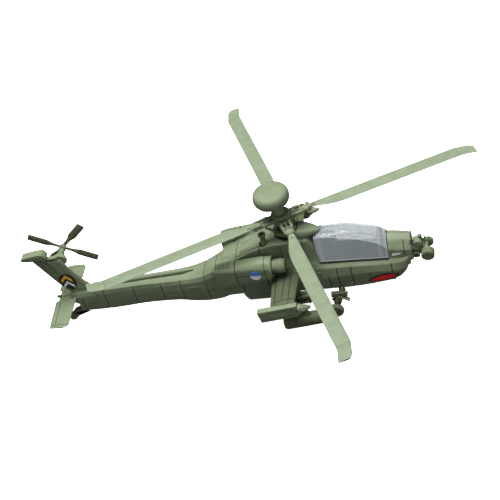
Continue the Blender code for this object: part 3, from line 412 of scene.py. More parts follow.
def panelled(name, low, high, outline_at, place, material, replaces, body=AIRFRAME, step=1.6, radius=0.6,
        closed=True, across=(), along=(), reference=None, sharp=SHARP_ANGLE):
    """Skin drawn along one direction with engraved joint lines.

    outline_at(x) gives the outline's corners, place(x, a, b) puts a point in space.  across holds
    (x, first corner, last corner, depth) and along holds (corner position, first x, last x, depth).
    """
    xs = rows_between(low, high, step, sorted(line[0] for line in across))
    middle = outline_at((low + high) / 2 if reference is None else reference)
    ts, reach = corner_steps(middle, radius, closed, [line[0] for line in along])
    bm = bmesh.new()
    grooved = bm.verts.layers.float.new("groove")
    rows, pushes = [], []
    for x in xs:
        outline = outline_at(x)
        rows.append([bm.verts.new(place(x, *outline_point(outline, t, reach, closed))) for t in ts])
    bridge(bm, rows)
    ends = [bm.faces.new(rows[0]), bm.faces.new(rows[-1])]
    bmesh.ops.recalc_face_normals(bm, faces=bm.faces)
    bm.normal_update()
    for x, row in zip(xs, rows):
        for t, vert in zip(ts, row):
            depth = 0.0
            for line, first, last, amount in across:
                if abs(x - line) < GROOVE_HALF and first <= t <= last:
                    depth = max(depth, amount)
            for line, first, last, amount in along:
                i = int(line)
                run = (Vector(middle[(i + 1) % len(middle)]) - Vector(middle[i])).length
                if abs(t - line) < GROOVE_HALF / max(run, 0.3) and first <= x <= last:
                    depth = max(depth, amount)
            if depth:
                pushes.append((vert, vert.normal.copy() * depth))
                vert[grooved] = min(1.0, 0.25 + depth / 0.24)
    for vert, push in pushes:
        vert.co -= push
    for end in ends:
        bmesh.ops.inset_region(bm, faces=[end], thickness=min(0.18, radius * 0.5), depth=0.0)
    return piece(name, bm, material, replaces, body, sharp=sharp)


def tree_of(obj):
    verts = [v.co.copy() for v in obj.data.vertices]
    return BVHTree.FromPolygons(verts, [list(p.vertices) for p in obj.data.polygons])


def decal(name, shapes, target, direction):
    """Thin printed shapes (material, outline of points in space) laid on a surface seen along a direction."""
    surface = tree_of(target)
    direction = Vector(direction).normalized()
    bm = bmesh.new()
    for index, (_, outline) in enumerate(shapes):
        part = bmesh.new()
        part.faces.new([part.verts.new(Vector(p)) for p in outline])
        bmesh.ops.triangulate(part, faces=part.faces[:])
        for _ in range(3):
            bmesh.ops.subdivide_edges(part, edges=part.edges[:], cuts=1, use_grid_fill=False)
            bmesh.ops.triangulate(part, faces=part.faces[:])
        for vert in part.verts:
            at = Vector(((vert.co.x + AXIS_X) * MM, vert.co.y * MM, vert.co.z * MM))
            hit = surface.ray_cast(at - direction * 0.02, direction, 0.05)[0]
            if hit is None:
                hit = surface.find_nearest(at)[0]
            if hit is not None:
                vert.co = Vector((hit.x / MM - AXIS_X, hit.y / MM, hit.z / MM))
        tops, lows = {}, {}
        for vert in part.verts:
            tops[vert] = bm.verts.new(vert.co - direction * (DECAL_LIFT + DECAL_STEP * index))
            lows[vert] = bm.verts.new(vert.co + direction * 0.05)
        for face in part.faces:
            bm.faces.new([tops[v] for v in face.verts]).material_index = index
            bm.faces.new([lows[v] for v in reversed(face.verts)]).material_index = index
        for edge in part.edges:
            if len(edge.link_faces) == 1:
                a, b = edge.verts
                bm.faces.new((tops[a], tops[b], lows[b], lows[a])).material_index = index
        part.free()
    obj = piece(name, bm, shapes[0][0])
    for material, _ in shapes[1:]:
        obj.data.materials.append(material)


# ---------------------------------------------------------------- body

SEAM = 0.04
BODY = [
    (-88.0, 15.8, (0.7, 15.7), (1.5, 15.3), (2.3, 13.4), (2.4, 12.3), (2.4, 9.2), (2.2, 6.1), 5.7),
    (-76.0, 17.1, (1.3, 17.0), (2.4, 16.5), (2.8, 14.8), (2.9, 12.5), (2.8, 9.6), (2.5, 6.5), 6.1),
    (-57.0, 18.8, (1.6, 18.7), (2.95, 18.0), (3.35, 16.2), (3.5, 14.0), (3.4, 11.0), (2.8, 8.1), 7.2),
    (-48.0, 19.4, (1.8, 19.3), (3.4, 18.5), (3.9, 16.8), (4.1, 14.3), (4.0, 11.3), (3.1, 8.2), 7.3),
    (-42.0, 19.9, (2.0, 19.7), (3.6, 19.0), (4.4, 17.6), (4.7, 14.5), (4.5, 11.0), (3.5, 7.5), 6.5),
    (-36.0, 20.9, (2.4, 20.8), (4.2, 20.2), (4.9, 18.6), (5.1, 14.8), (4.9, 11.0), (3.8, 7.1), 6.1),
    (-30.0, 23.8, (2.6, 23.7), (4.6, 22.9), (5.3, 20.5), (5.5, 15.0), (5.2, 11.2), (4.1, 8.0), 7.0),
    (-26.0, 25.9, (2.8, 25.8), (5.0, 25.2), (5.6, 22.5), (5.8, 15.5), (5.4, 11.8), (4.5, 9.6), 8.9),
    (-20.0, 28.8, (3.0, 28.7), (5.5, 28.2), (5.5, 24.0), (6.0, 16.5), (5.7, 12.3), (4.8, 10.0), 9.3),
    (-10.0, 33.2, (3.2, 33.1), (5.6, 32.6), (5.2, 27.0), (6.2, 18.5), (6.0, 13.5), (5.1, 9.7), 9.0),
    (-4.0, 34.4, (3.4, 34.3), (5.6, 33.7), (5.1, 27.0), (6.4, 19.5), (6.4, 15.0), (5.2, 9.3), 8.6),
    (3.0, 34.4, (3.3, 34.2), (5.3, 33.4), (5.3, 26.0), (6.5, 20.6), (6.9, 15.6), (5.3, 9.0), 8.3),
    (9.2, 32.6, (2.4, 32.5), (3.6, 31.8), (5.2, 23.6), (6.7, 20.6), (7.5, 16.0), (5.4, 8.9), 8.1),
    (9.4, 22.5, (2.6, 22.5), (5.1, 22.5), (5.3, 22.1), (6.7, 20.7), (7.5, 16.0), (5.4, 8.9), 8.1),
    (20.0, 22.1, (2.6, 22.1), (5.1, 22.1), (5.3, 21.7), (6.8, 20.6), (7.5, 17.0), (5.5, 9.0), 8.2),
    (30.0, 21.6, (2.6, 21.6), (5.1, 21.6), (5.3, 21.2), (6.7, 20.2), (7.5, 17.3), (5.5, 10.0), 9.1),
    (35.2, 21.4, (2.6, 21.4), (5.1, 21.4), (5.2, 21.0), (6.6, 20.0), (7.5, 17.0), (5.5, 10.9), 10.0),
    (35.4, 28.9, (2.6, 27.9), (5.0, 25.2), (5.15, 21.6), (6.6, 20.0), (7.5, 17.0), (5.5, 11.0), 10.1),
    (38.0, 28.6, (2.6, 27.6), (4.9, 24.9), (5.0, 21.4), (6.4, 20.0), (7.2, 17.0), (5.3, 12.0), 11.2),
    (40.5, 28.2, (2.5, 27.2), (4.8, 24.4), (4.9, 21.3), (6.0, 20.2), (6.4, 16.8), (4.6, 14.4), 13.8),
    (42.0, 28.0, (2.4, 27.0), (4.6, 24.1), (4.8, 21.7), (5.4, 20.9), (5.2, 18.2), (4.0, 17.2), 16.8),
    (43.4, 27.6, (2.3, 26.6), (4.3, 23.8), (4.5, 21.5), (4.4, 20.6), (4.2, 19.5), (3.4, 19.0), 18.8),
]
BODY_TOP, BODY_KEEL = curves_through((s[0], s[1], s[8]) for s in BODY)
BODY_CORNERS = [curves_through((s[0], *s[i]) for s in BODY) for i in range(2, 8)]


def body_outline(x):
    corners = [(y(x), z(x)) for y, z in BODY_CORNERS]
    return [(SEAM, BODY_TOP(x))] + corners + [(SEAM, BODY_KEEL(x))]


# Corner positions: 0 ridge, 1 roof, 2 shoulder, 3 waist, 4 bay edge, 5 crease, 6 belly, 7 keel
BODY_ACROSS = [
    (-86.2, 3.6, 6.6, 0.2), (-79.5, 2.4, 3.5, 0.16), (-76.3, 2.0, 7.0, 0.2), (-64.0, 2.0, 7.0, 0.16),
    (-52.4, 2.0, 6.5, 0.18), (-44.4, 2.0, 6.5, 0.16), (-34.2, 0.0, 6.3, 0.2), (-29.1, 0.0, 4.0, 0.2),
    (-20.0, 0.0, 5.2, 0.2), (-10.1, 1.6, 5.0, 0.2), (-2.4, 2.2, 5.5, 0.16), (5.6, 0.9, 4.0, 0.16),
    (12.6, 4.6, 6.6, 0.2), (16.0, 4.0, 6.2, 0.2), (21.1, 4.0, 6.2, 0.2), (27.6, 5.0, 6.0, 0.14),
    (35.7, 4.0, 5.6, 0.2), (40.9, 1.0, 3.0, 0.14),
]
BODY_ALONG = [(2.3, -79.0, -36.0, 0.24), (3.55, -86.2, -64.0, 0.2), (3.04, 9.8, 43.0, 0.3),
    (4.5, -52.4, -34.2, 0.14), (5.45, 12.6, 21.1, 0.18), (4.35, -34.2, -20.0, 0.14),
    (1.5, -20.0, -10.1, 0.14)]


def body_halves():
    for side, sign in SIDES:
        skin = panelled(f"body_half_{side}", -88.0, 43.4, body_outline,
            lambda x, y, z, s=sign: (x, s * y, z), SAGE, [f"fuselage_{side}"], step=1.7, radius=0.55,
            closed=False, across=BODY_ACROSS, along=BODY_ALONG, reference=0.0)
        tool = bmesh.new()
        block(tool, (25.6, 8.8, 16.0), (22.2, 0, 22.2))
        cut(skin, tool)
        tool = bmesh.new()
        rod(tool, (0, 0, 29.6), (0, 0, 42.0), 4.2, sides=40)
        cut(skin, tool)
        if sign < 0:
            tool = bmesh.new()
            rod(tool, (-8.4, -3.5, 31.0), (-8.4, -3.5, 40.0), 1.7, sides=28)
            cut(skin, tool)


def body_details():
    bm = bmesh.new()
    rod(bm, (-8.4, -3.5, 30.8), (-8.0, -3.4, 36.6), 1.35, 0.85, 24)
    rod(bm, (-8.1, -3.4, 36.3), (-8.0, -3.4, 37.5), 1.0, 1.45, 24)
    rod(bm, (-8.0, -3.4, 37.45), (-8.0, -3.4, 37.9), 1.45, 1.35, 24)
    block(bm, (2.6, 0.5, 0.8), (-6.4, -3.6, 34.3))
    piece("roof_pipe", bm, OLIVE, bevel=0.08)
    bm = bmesh.new()
    # Painted shade: a black disc inside the pipe's open end.
    rod(bm, (-8.0, -3.4, 37.6), (-8.0, -3.4, 37.96), 0.75, sides=20)
    piece("roof_pipe_mouth_shade", bm, BLACK)
    # raised walkway and access covers on the roof, handles, lights and vents
    bm = bmesh.new()
    for x, y, length, width in ((-16.0, 2.2, 4.6, 2.2), (-16.0, -2.2, 4.6, 2.2), (-25.0, 0.0, 3.4, 3.6),
            (6.8, -2.6, 1.6, 1.2)):
        block(bm, (length, width, 0.24), (x, y, BODY_TOP(x) - 0.02),
            Matrix.Rotation(-math.atan((BODY_TOP(x + 1) - BODY_TOP(x - 1)) / 2), 3, "Y"))
    piece("roof_covers", bm, SAGE, bevel=0.07)
    bm = bmesh.new()
    sweep(bm, [(-81.5, 0, 17.0), (-79.8, 0, 18.0), (-70, 0, 18.2), (-57, 0, 19.35), (-44, 0, 20.3),
        (-39, 0, 20.6)], [0.2, 0.75, 0.9, 1.0, 1.1, 0.3], 14)
    piece("boom_spine", bm, SAGE, bevel=0.05)
    bm = bmesh.new()
    for sign in (1, -1):
        for step in range(5):
            block(bm, (0.55, 0.3, 1.3), (-41.0 + 1.1 * step, sign * 4.95, 15.4), pitched(14))
        block(bm, (0.9, 0.5, 0.9), (-84.0, sign * 2.5, 11.0))
        rod(bm, (9.7, sign * 7.1, 19.4), (9.7, sign * 7.75, 19.4), 0.5, sides=16)
        rod(bm, (38.2, sign * 4.9, 24.4), (38.4, sign * 5.3, 24.6), 0.4, 0.3, 14)
    piece("side_vents", bm, OLIVE, bevel=0.06)
    # lower end of the boom, which carries the tailplane and the fin's foot
    bm = bmesh.new()
    loft(bm, [[(-87.8, -1.2, 15.3), (-87.8, 1.2, 15.3), (-87.8, 2.0, 9.4), (-87.8, -2.0, 9.4)],
        [(-91.0, -0.8, 14.6), (-91.0, 0.8, 14.6), (-91.0, 1.4, 10.6), (-91.0, -1.4, 10.6)],
        [(-94.4, -0.5, 13.9), (-94.4, 0.5, 13.9), (-94.4, 0.6, 12.2), (-94.4, -0.6, 12.2)]])
    piece("boom_tail_cone", bm, SAGE, bevel=0.3)


# ---------------------------------------------------------------- cockpit

CANOPY = [(9.7, 33.2, (1.8, 33.1), (3.3, 32.7), 22.8), (13.0, 33.7, (1.9, 33.6), (3.5, 32.9), 22.7),
          (18.0, 33.9, (2.05, 33.7), (3.8, 32.6), 22.5), (23.0, 33.6, (2.2, 33.3), (4.1, 31.8), 22.3),
          (30.0, 32.1, (2.4, 31.5), (4.3, 29.3), 21.9), (33.2, 30.7, (2.5, 29.9), (4.4, 27.6), 21.8),
          (35.1, 29.3, (2.6, 28.2), (4.6, 25.4), 21.7)]
CANOPY_TOP, CANOPY_FOOT = curves_through((s[0], s[1], s[4]) for s in CANOPY)
CANOPY_MIDDLE = curves_through((s[0], *s[2]) for s in CANOPY)
CANOPY_RAIL = curves_through((s[0], *s[3]) for s in CANOPY)


def canopy_path(x, offset):
    """Canopy section from the right foot over the top to the left foot, moved outwards by the offset."""
    half = [(5.0, CANOPY_FOOT(x)), (CANOPY_RAIL[0](x), CANOPY_RAIL[1](x)),
        (CANOPY_MIDDLE[0](x), CANOPY_MIDDLE[1](x)), (0.0, CANOPY_TOP(x))]
    corners = [(-y, z) for y, z in half] + [(y, z) for y, z in half[-2::-1]]
    ts, reach = corner_steps(corners, 0.5, False, [])
    ts = sorted(set(ts + [0.33, 0.66, 5.33, 5.66]))
    points = [outline_point(corners, t, reach, False) for t in ts]
    moved = []
    for index, point in enumerate(points):
        along = points[min(index + 1, len(points) - 1)] - points[max(index - 1, 0)]
        normal = Vector((-along.y, along.x)).normalized()
        moved.append(point + normal * offset)
    return moved


def canopy_band(bm, xs, outer, inner):
    """Closed strip of the canopy's section between two offsets."""
    rings = []
    for x in xs:
        rings.append([(x, p.x, p.y) for p in canopy_path(x, outer) + canopy_path(x, inner)[::-1]])
    loft(bm, rings)


def canopy():
    bm = bmesh.new()
    xs = [9.7 + 25.4 * step / 26 for step in range(27)]
    canopy_band(bm, xs, 0.0, -0.45)
    for x, thick in ((9.7, 0.45), (34.65, 0.45)):
        loft(bm, [[(x + shift, p.x, p.y) for p in canopy_path(x + shift, -0.1)] for shift in (0.0, thick)])
    piece("canopy_glass", bm, GLASS, ["canopy"], sharp=24.0)
    bm = bmesh.new()
    for low, high, lift in ((10.6, 12.3, 0.1), (31.9, 33.2, 0.1), (34.4, 35.15, 0.1)):
        canopy_band(bm, [low, (low + high) / 2, high], lift, -0.2)
    for sign in (1, -1):
        rail = [(x, sign * (CANOPY_RAIL[0](x) + 0.02), CANOPY_RAIL[1](x) + 0.04) for x in xs]
        sweep(bm, rail, 0.11, 8)
        foot = [(x, sign * 5.0, CANOPY_FOOT(x) + 0.12) for x in xs]
        sweep(bm, foot, 0.18, 8)
        middle = [(x, sign * (CANOPY_MIDDLE[0](x) + 0.02), CANOPY_MIDDLE[1](x) + 0.02) for x in xs]
        sweep(bm, middle, 0.07, 8)
    piece("canopy_frames", bm, FROST, sharp=30.0)
    bm = bmesh.new()
    # Painted shadow: a black strip along the foot of the canopy on each side.
    for sign in (1, -1):
        sweep(bm, [(x, sign * 5.16, CANOPY_FOOT(x) - 0.3) for x in xs], 0.28, 8)
    piece("canopy_sill_shadow", bm, BLACK)


def cockpit():
    bm = bmesh.new()
    block(bm, (24.4, 7.8, 0.8), (22.2, 0, 14.6))
    for sign in (1, -1):
        block(bm, (24.4, 0.7, 6.4), (22.2, sign * 3.9, 17.4))
        block(bm, (24.2, 0.9, 0.5), (22.2, sign * 4.1, 21.0))
        for x in (15.0, 19.5, 25.5, 30.5):
            block(bm, (2.2, 0.5, 0.7), (x, sign * 3.5, 20.6))
    for x in (10.3, 34.1):
        block(bm, (0.8, 7.8, 6.4), (x, 0, 17.4))
    block(bm, (0.7, 7.6, 9.0), (21.9, 0, 18.5))
    piece("cockpit_floor", bm, COCKPIT, ["cockpit_tub"], bevel=0.1)
    for name, x, floor in (("front", 24.0, 14.2), ("rear", 14.0, 16.2)):
        bm = bmesh.new()
        prism(bm, [(x + 3.6, floor + 0.4), (x + 3.6, floor + 2.2), (x + 0.6, floor + 2.0),
            (x - 1.0, floor + 10.2), (x - 2.2, floor + 10.2), (x - 1.2, floor + 0.4)], -2.0, 2.0)
        block(bm, (1.2, 2.2, 2.4), (x - 1.6, 0, floor + 11.2), pitched(-8))
        for sign in (1, -1):
            block(bm, (3.4, 0.5, 1.2), (x + 1.6, sign * 2.1, floor + 3.0))
        piece(f"{name}_seat_shell", bm, COCKPIT, [f"{name}_seat"], bevel=0.2)
        figure(name, x + 0.3, floor + 2.9)
    for name, x, floor, height in (("front", 30.0, 14.2, 7.0), ("rear", 19.4, 14.2, 9.0)):
        bm = bmesh.new()
        prism(bm, [(x, floor + 0.4), (x + 1.6, floor + 0.4), (x + 2.2, floor + height - 0.8),
            (x + 0.6, floor + height)], -2.6, 2.6)
        for y in (-1.3, 1.3):
            block(bm, (0.3, 1.8, 1.6), (x + 0.35, y, floor + height - 1.6))
        rod(bm, (x - 0.6, 0, floor + height - 1.4), (x + 0.6, 0, floor + height - 0.6), 0.45, sides=12)
        piece(f"{name}_instrument_panel", bm, COCKPIT, [f"{name}_panel"], bevel=0.12)


def figure(name, x, base):
    """Seated crew figure with a plain helmet and a closed visor."""
    bm = bmesh.new()
    levels = [(0.0, 2.0, 1.5, 0.6), (1.4, 1.85, 1.35, 0.4), (3.2, 2.1, 1.3, 0.1), (4.5, 2.45, 1.2, 0.0),
        (5.2, 1.7, 1.0, 0.0), (5.7, 0.9, 0.8, 0.1), (6.1, 0.8, 0.8, 0.1)]
    rings = []
    for height, half_width, half_depth, ahead in levels:
        rings.append([(x + 1.8 + ahead + half_depth * c, half_width * s, base + height)
            for c, s in circle(20)])
    loft(bm, rings)
    for sign in (1, -1):
        sweep(bm, [(x + 1.8, sign * 2.1, base + 4.6), (x + 1.7, sign * 2.5, base + 3.2),
            (x + 2.6, sign * 2.3, base + 1.9), (x + 4.4, sign * 1.3, base + 2.2)], [0.62, 0.58, 0.5, 0.42],
            12)
        sweep(bm, [(x + 2.0, sign * 0.9, base + 0.3), (x + 4.6, sign * 1.0, base + 0.9),
            (x + 5.2, sign * 1.0, base + 0.4)], [0.8, 0.65, 0.5], 12)
    block(bm, (0.5, 2.0, 1.8), (x + 2.95, 0, base + 3.5))
    piece(f"{name}_crew_body", bm, FIGURE, [f"{name}_pilot"], bevel=0.05)
    bm = bmesh.new()
    ball(bm, (x + 1.95, 0, base + 7.4), (1.65, 1.45, 1.6), 24)
    for sign in (1, -1):
        rod(bm, (x + 1.9, sign * 1.2, base + 7.0), (x + 1.9, sign * 1.62, base + 7.0), 0.5, 0.4, 14)
    piece(f"{name}_crew_helmet", bm, FIGURE)
    bm = bmesh.new()
    ball(bm, (x + 2.35, 0, base + 7.1), (1.45, 1.25, 0.95), 20)
    piece(f"{name}_crew_visor", bm, LENS)


# ---------------------------------------------------------------- nose

def drum(name, y_low, y_high, radius, node_name, sign):
    bm = bmesh.new()
    low, high = min(y_low, y_high), max(y_low, y_high)
    length = high - low
    turned(bm, [(0.0, 0.0), (radius - 0.35, 0.0), (radius, 0.35), (radius, length * 0.45),
        (radius - 0.12, length * 0.5), (radius, length * 0.55), (radius, length - 0.35),
        (radius - 0.35, length), (0.0, length)], (48.8, low, 20.4), LEFTWARD, 36)
    face = high if sign > 0 else low
    ring_solid(bm, [(radius - 0.9, 0.0), (radius - 0.55, 0.0), (radius - 0.55, 0.14), (radius - 0.9, 0.14)],
        (48.8, face - 0.02 if sign > 0 else face - 0.12, 20.4), LEFTWARD, 32)
    obj = piece(name, bm, OLIVE, [node_name], sharp=28.0)
    tool = bmesh.new()
    middle = (low + high) / 2
    if sign > 0:
        rod(tool, (49.2, middle + 0.1, 21.4), (49.6, middle + 0.1, 23.4), 0.55, sides=20)
        rod(tool, (50.2, middle, 20.8), (51.4, middle, 21.2), 0.5, sides=20)
    else:
        block(tool, (1.2, length * 0.5, 1.3), (50.9, middle, 20.8))
    cut(obj, tool, sharp=28.0)


def nose():
    drum("left_turret_drum", 1.85, 3.45, 2.1, "sensor_drum_left", 1)
    drum("right_turret_drum", -1.85, -5.05, 2.4, "sensor_drum_right", -1)
    bm = bmesh.new()
    block(bm, (0.3, 1.2, 1.0), (50.2, -3.45, 20.8))
    rod(bm, (49.6, 2.65, 20.7), (50.5, 2.65, 20.9), 0.42, sides=16)
    piece("turret_windows", bm, LENS)
    bm = bmesh.new()
    block(bm, (5.2, 3.0, 3.2), (46.4, 0, 20.2))
    block(bm, (3.0, 4.6, 1.2), (44.6, 0, 22.0))
    block(bm, (2.4, 5.0, 2.0), (44.6, 0, 18.9))
    block(bm, (1.2, 3.4, 1.0), (47.2, 0, 22.3))
    ring_solid(bm, [(0.75, -0.1), (1.25, -0.1), (1.25, 0.5), (0.75, 0.5)], (44.5, -2.5, 19.4), (0, -1, 0),
        24)
    rod(bm, (46.6, -0.2, 23.0), (46.7, -0.1, 26.4), 0.75, 0.6, 18)
    ball(bm, (46.7, -0.1, 26.3), (0.8, 0.8, 0.7), 16)
    block(bm, (0.5, 0.9, 2.6), (48.0, 0.9, 23.6), pitched(12))
    piece("turret_neck", bm, SAGE, ["sensor_neck"], bevel=0.16)
    bm = bmesh.new()
    # Painted shade: a black disc and plate in the recesses of the nose.
    rod(bm, (44.5, -2.45, 19.4), (44.5, -2.62, 19.4), 0.72, sides=20)
    block(bm, (0.12, 1.1, 0.8), (43.55, -1.4, 26.0))
    piece("turret_recess_shade", bm, BLACK)
    bm = bmesh.new()
    turned(bm, [(0.0, -1.9), (1.3, -1.9), (1.65, -1.6), (1.65, -0.3), (1.5, -0.2), (1.5, 0.1), (1.65, 0.2),
        (1.65, 1.4), (1.3, 1.7), (0.0, 1.7)], (45.7, -0.5, 23.9), LEFTWARD, 32)
    block(bm, (1.4, 1.6, 1.0), (44.4, -0.3, 25.0))
    piece("night_sensor_barrel", bm, SAGE, ["night_sensor"], bevel=0.06)
    bm = bmesh.new()
    rod(bm, (46.9, -0.5, 24.4), (47.5, -0.5, 24.6), 0.75, 0.7, 20)
    piece("night_sensor_lens", bm, LENS)
    # cross-shaped probe on the nose deck and brackets under the chin
    bm = bmesh.new()
    rod(bm, (42.8, -2.6, 26.0), (43.6, -2.7, 27.2), 0.3, 0.22, 12)
    rod(bm, (43.0, -3.4, 26.2), (43.5, -1.8, 27.2), 0.24, sides=10)
    rod(bm, (43.2, 1.8, 26.6), (43.9, 1.9, 27.2), 0.3, 0.22, 12)
    block(bm, (1.6, 1.0, 0.8), (41.6, -4.0, 17.2))
    block(bm, (1.2, 0.5, 1.4), (43.0, -3.6, 19.0))
    block(bm, (1.6, 1.0, 0.8), (41.6, 4.0, 17.2))
    piece("nose_probes", bm, OLIVE, bevel=0.06)


# ---------------------------------------------------------------- mast and main rotor

def turn_about_mast(radius, offset, degrees, z):
    a = math.radians(degrees)
    return (radius * math.cos(a) - offset * math.sin(a), radius * math.sin(a) + offset * math.cos(a), z)


AZIMUTHS = [23.2 + 90.0 * index for index in range(4)]


def mast_fairing():
    stations = [(3.4, 3.1, 36.8, 3.9, 35.2, 33.4), (4.9, 3.0, 36.7, 3.8, 35.2, 33.4),
        (8.0, 2.3, 36.2, 3.0, 35.0, 33.6), (10.6, 1.4, 35.5, 1.9, 34.7, 33.6),
        (12.0, 0.7, 34.8, 0.9, 34.3, 33.7)]
    curves = curves_through(stations)

    def outline(x):
        crown_y, crown_z, side_y, side_z, foot_z = (curve(x) for curve in curves)
        right = [(-side_y, foot_z), (-side_y, side_z), (-crown_y, crown_z)]
        return right + [(-y, z) for y, z in reversed(right)]
    skin = panelled("mast_snout", 3.4, 12.0, outline, lambda x, y, z: (x, y, z), SAGE, ["mast_fairing"],
        step=0.5, radius=0.7)
    tool = bmesh.new()
    rod(tool, (0, 0, 33.0), (0, 0, 38.0), 4.75, sides=48)
    cut(skin, tool)
    # Painted shade: a black curved liner where the snout wraps round the mast.
    bm = bmesh.new()
    ring = []
    for step in range(15):
        a = math.radians(-38.0 + 76.0 * step / 14)
        ring.append([(r * math.cos(a), r * math.sin(a), h) for r, h in ((4.6, 33.4), (4.85, 33.4),
            (4.85, 36.2), (4.6, 36.2))])
    loft(bm, ring)
    piece("mast_snout_recess_shade", bm, BLACK)


def mast():
    bm = bmesh.new()
    wall = 3.9
    ring_solid(bm, [(1.5, 29.3), (wall, 29.3), (wall, 33.9), (3.2, 33.9), (3.2, 30.0), (2.3, 30.0),
        (2.3, 38.3), (1.9, 38.6), (1.5, 38.6)], ORIGIN, UP, 40)
    for c, s in circle(8, 0.2):
        rod(bm, (2.75 * c, 2.75 * s, 30.0), (2.5 * c, 2.5 * s, 34.6), 0.22, sides=10)
    piece("mast_cup", bm, SHADE, ["mast_base"], bevel=0.06)
    bm = bmesh.new()
    turned(bm, [(0.0, 30.0), (1.2, 30.0), (1.2, 44.1), (0.8, 44.2), (0.8, 45.9), (0.0, 45.9)], ORIGIN, UP,
        28)
    piece("mast_rod", bm, OLIVE, ["mast_pin"])


def radome():
    bm = bmesh.new()
    levels = [(44.4, 2.2, 0.3), (45.2, 2.15, 0.35), (46.2, 2.05, 0.45), (47.2, 2.05, 0.55),
        (48.2, 2.1, 0.65), (48.7, 2.5, 0.72), (48.95, 3.6, 0.8), (49.15, 4.7, 0.85), (49.5, 5.5, 0.9),
        (50.0, 6.05, 0.96), (50.6, 6.38, 1.0), (51.3, 6.55, 1.0), (52.2, 6.55, 1.0), (52.9, 6.42, 1.0),
        (53.5, 6.18, 1.0), (53.9, 5.85, 1.0), (54.2, 5.4, 1.0), (54.4, 4.8, 1.0), (54.52, 4.0, 1.0),
        (54.58, 2.6, 1.0), (54.6, 0.4, 1.0)]
    loft(bm, [[(radius * c - lean * 1.6, radius * s, z) for c, s in circle(56)]
        for z, radius, lean in levels])
    piece("radar_dome", bm, SAGE, ["radome"], sharp=40.0)
    bm = bmesh.new()
    for step in range(3):
        a = step * math.tau / 3 + 0.5
        block(bm, (0.6, 0.5, 2.2), (2.0 * math.cos(a) - 0.7, 2.0 * math.sin(a), 45.9),
            Matrix.Rotation(a, 3, "Z"))
    piece("dome_post_ribs", bm, SAGE, bevel=0.08)


def hub():
    bm = bmesh.new()
    z = HUB_Z
    ring_solid(bm, [(1.55, 39.9), (3.0, 39.9), (3.6, 40.4), (3.6, 41.0), (3.3, 41.2), (3.3, 42.8),
        (3.6, 43.0), (3.6, 43.6), (3.1, 44.1), (1.55, 44.1)], ORIGIN, UP, 36)
    for azimuth in AZIMUTHS:
        turn = headed(azimuth)

        def at(radius, offset, height):
            return turn_about_mast(radius, offset, azimuth, z + height)
        block(bm, (6.6, 2.0, 0.32), at(5.2, 0, -0.75), turn)
        for offset in (-1.35, 1.35):
            block(bm, (6.8, 0.42, 1.7), at(5.8, offset, 0.1), turn)
        block(bm, (5.4, 0.5, 0.7), at(5.2, 0, 0.25), turn)
        block(bm, (3.2, 2.7, 1.1), at(9.4, 0, -0.05), turn)
        block(bm, (1.3, 3.1, 1.9), at(10.3, 0, 0), turn)
        block(bm, (0.55, 4.0, 0.8), at(7.2, 0, 0.3), turn)
        block(bm, (0.5, 2.9, 1.3), at(4.3, 0, 0.1), turn)
        block(bm, (2.2, 0.5, 0.9), at(8.9, -1.75, 0.3), turn)
        for offset in (-1.75, 1.75):
            rod(bm, at(3.2, offset * 0.9, 0.35), at(7.8, offset, 0.35), 0.5, sides=14)
            rod(bm, at(4.6, offset * 0.95, 0.35), at(6.4, offset, 0.35), 0.66, sides=16)
            rod(bm, at(10.2, offset * 0.5, -1.25), at(10.2, offset * 0.5, 1.3), 0.42, sides=12)
            rod(bm, at(8.2, offset * 0.7, 0.5), at(8.2, offset * 0.7, 1.15), 0.4, sides=6)
        rod(bm, at(5.0, 0, -1.0), at(5.0, 0, 1.1), 0.55, sides=6)
        rod(bm, at(6.4, 1.5, -1.6), at(6.4, 1.5, 0.0), 0.5, sides=12)
    for c, s in circle(8):
        rod(bm, (2.4 * c, 2.4 * s, 43.9), (2.4 * c, 2.4 * s, 44.35), 0.32, sides=6)
    piece("rotor_head", bm, SAGE, ["rotor_hub"], "main_rotor", bevel=0.09)
    # Painted shade: black plates under each arm, seen through the gaps between its rails.
    bm = bmesh.new()
    for azimuth in AZIMUTHS:
        turn = headed(azimuth)
        block(bm, (5.2, 1.9, 0.5), turn_about_mast(5.4, 0, azimuth, z - 0.35), turn)
    piece("rotor_head_gap_shade", bm, BLACK, body="main_rotor")
    bm = bmesh.new()
    ring_solid(bm, [(2.65, 35.9), (4.1, 35.9), (4.3, 36.2), (4.3, 36.5), (4.05, 36.6), (4.3, 36.75),
        (4.3, 37.0), (4.0, 37.2), (2.65, 37.2)], ORIGIN, UP, 40)
    for azimuth in AZIMUTHS:
        block(bm, (1.3, 1.0, 0.9), turn_about_mast(3.9, 1.2, azimuth, 37.0), headed(azimuth))
    piece("swash_plate", bm, OLIVE, ["swash_ring"], "main_rotor", bevel=0.06)
    for index, azimuth in enumerate(AZIMUTHS):
        bm = bmesh.new()
        foot = Vector(turn_about_mast(3.6, 1.2, azimuth, 37.5))
        head = Vector(turn_about_mast(6.4, 1.5, azimuth, 40.75))
        rod(bm, foot, head, 0.3, sides=12)
        rod(bm, foot.lerp(head, 0.3), foot.lerp(head, 0.7), 0.45, sides=12)
        for end in (foot, head):
            ball(bm, end, (0.5, 0.5, 0.5), 14)
        piece(f"pitch_rod_{index + 1}", bm, OLIVE, [f"pitch_link_{index + 1}"], "main_rotor")


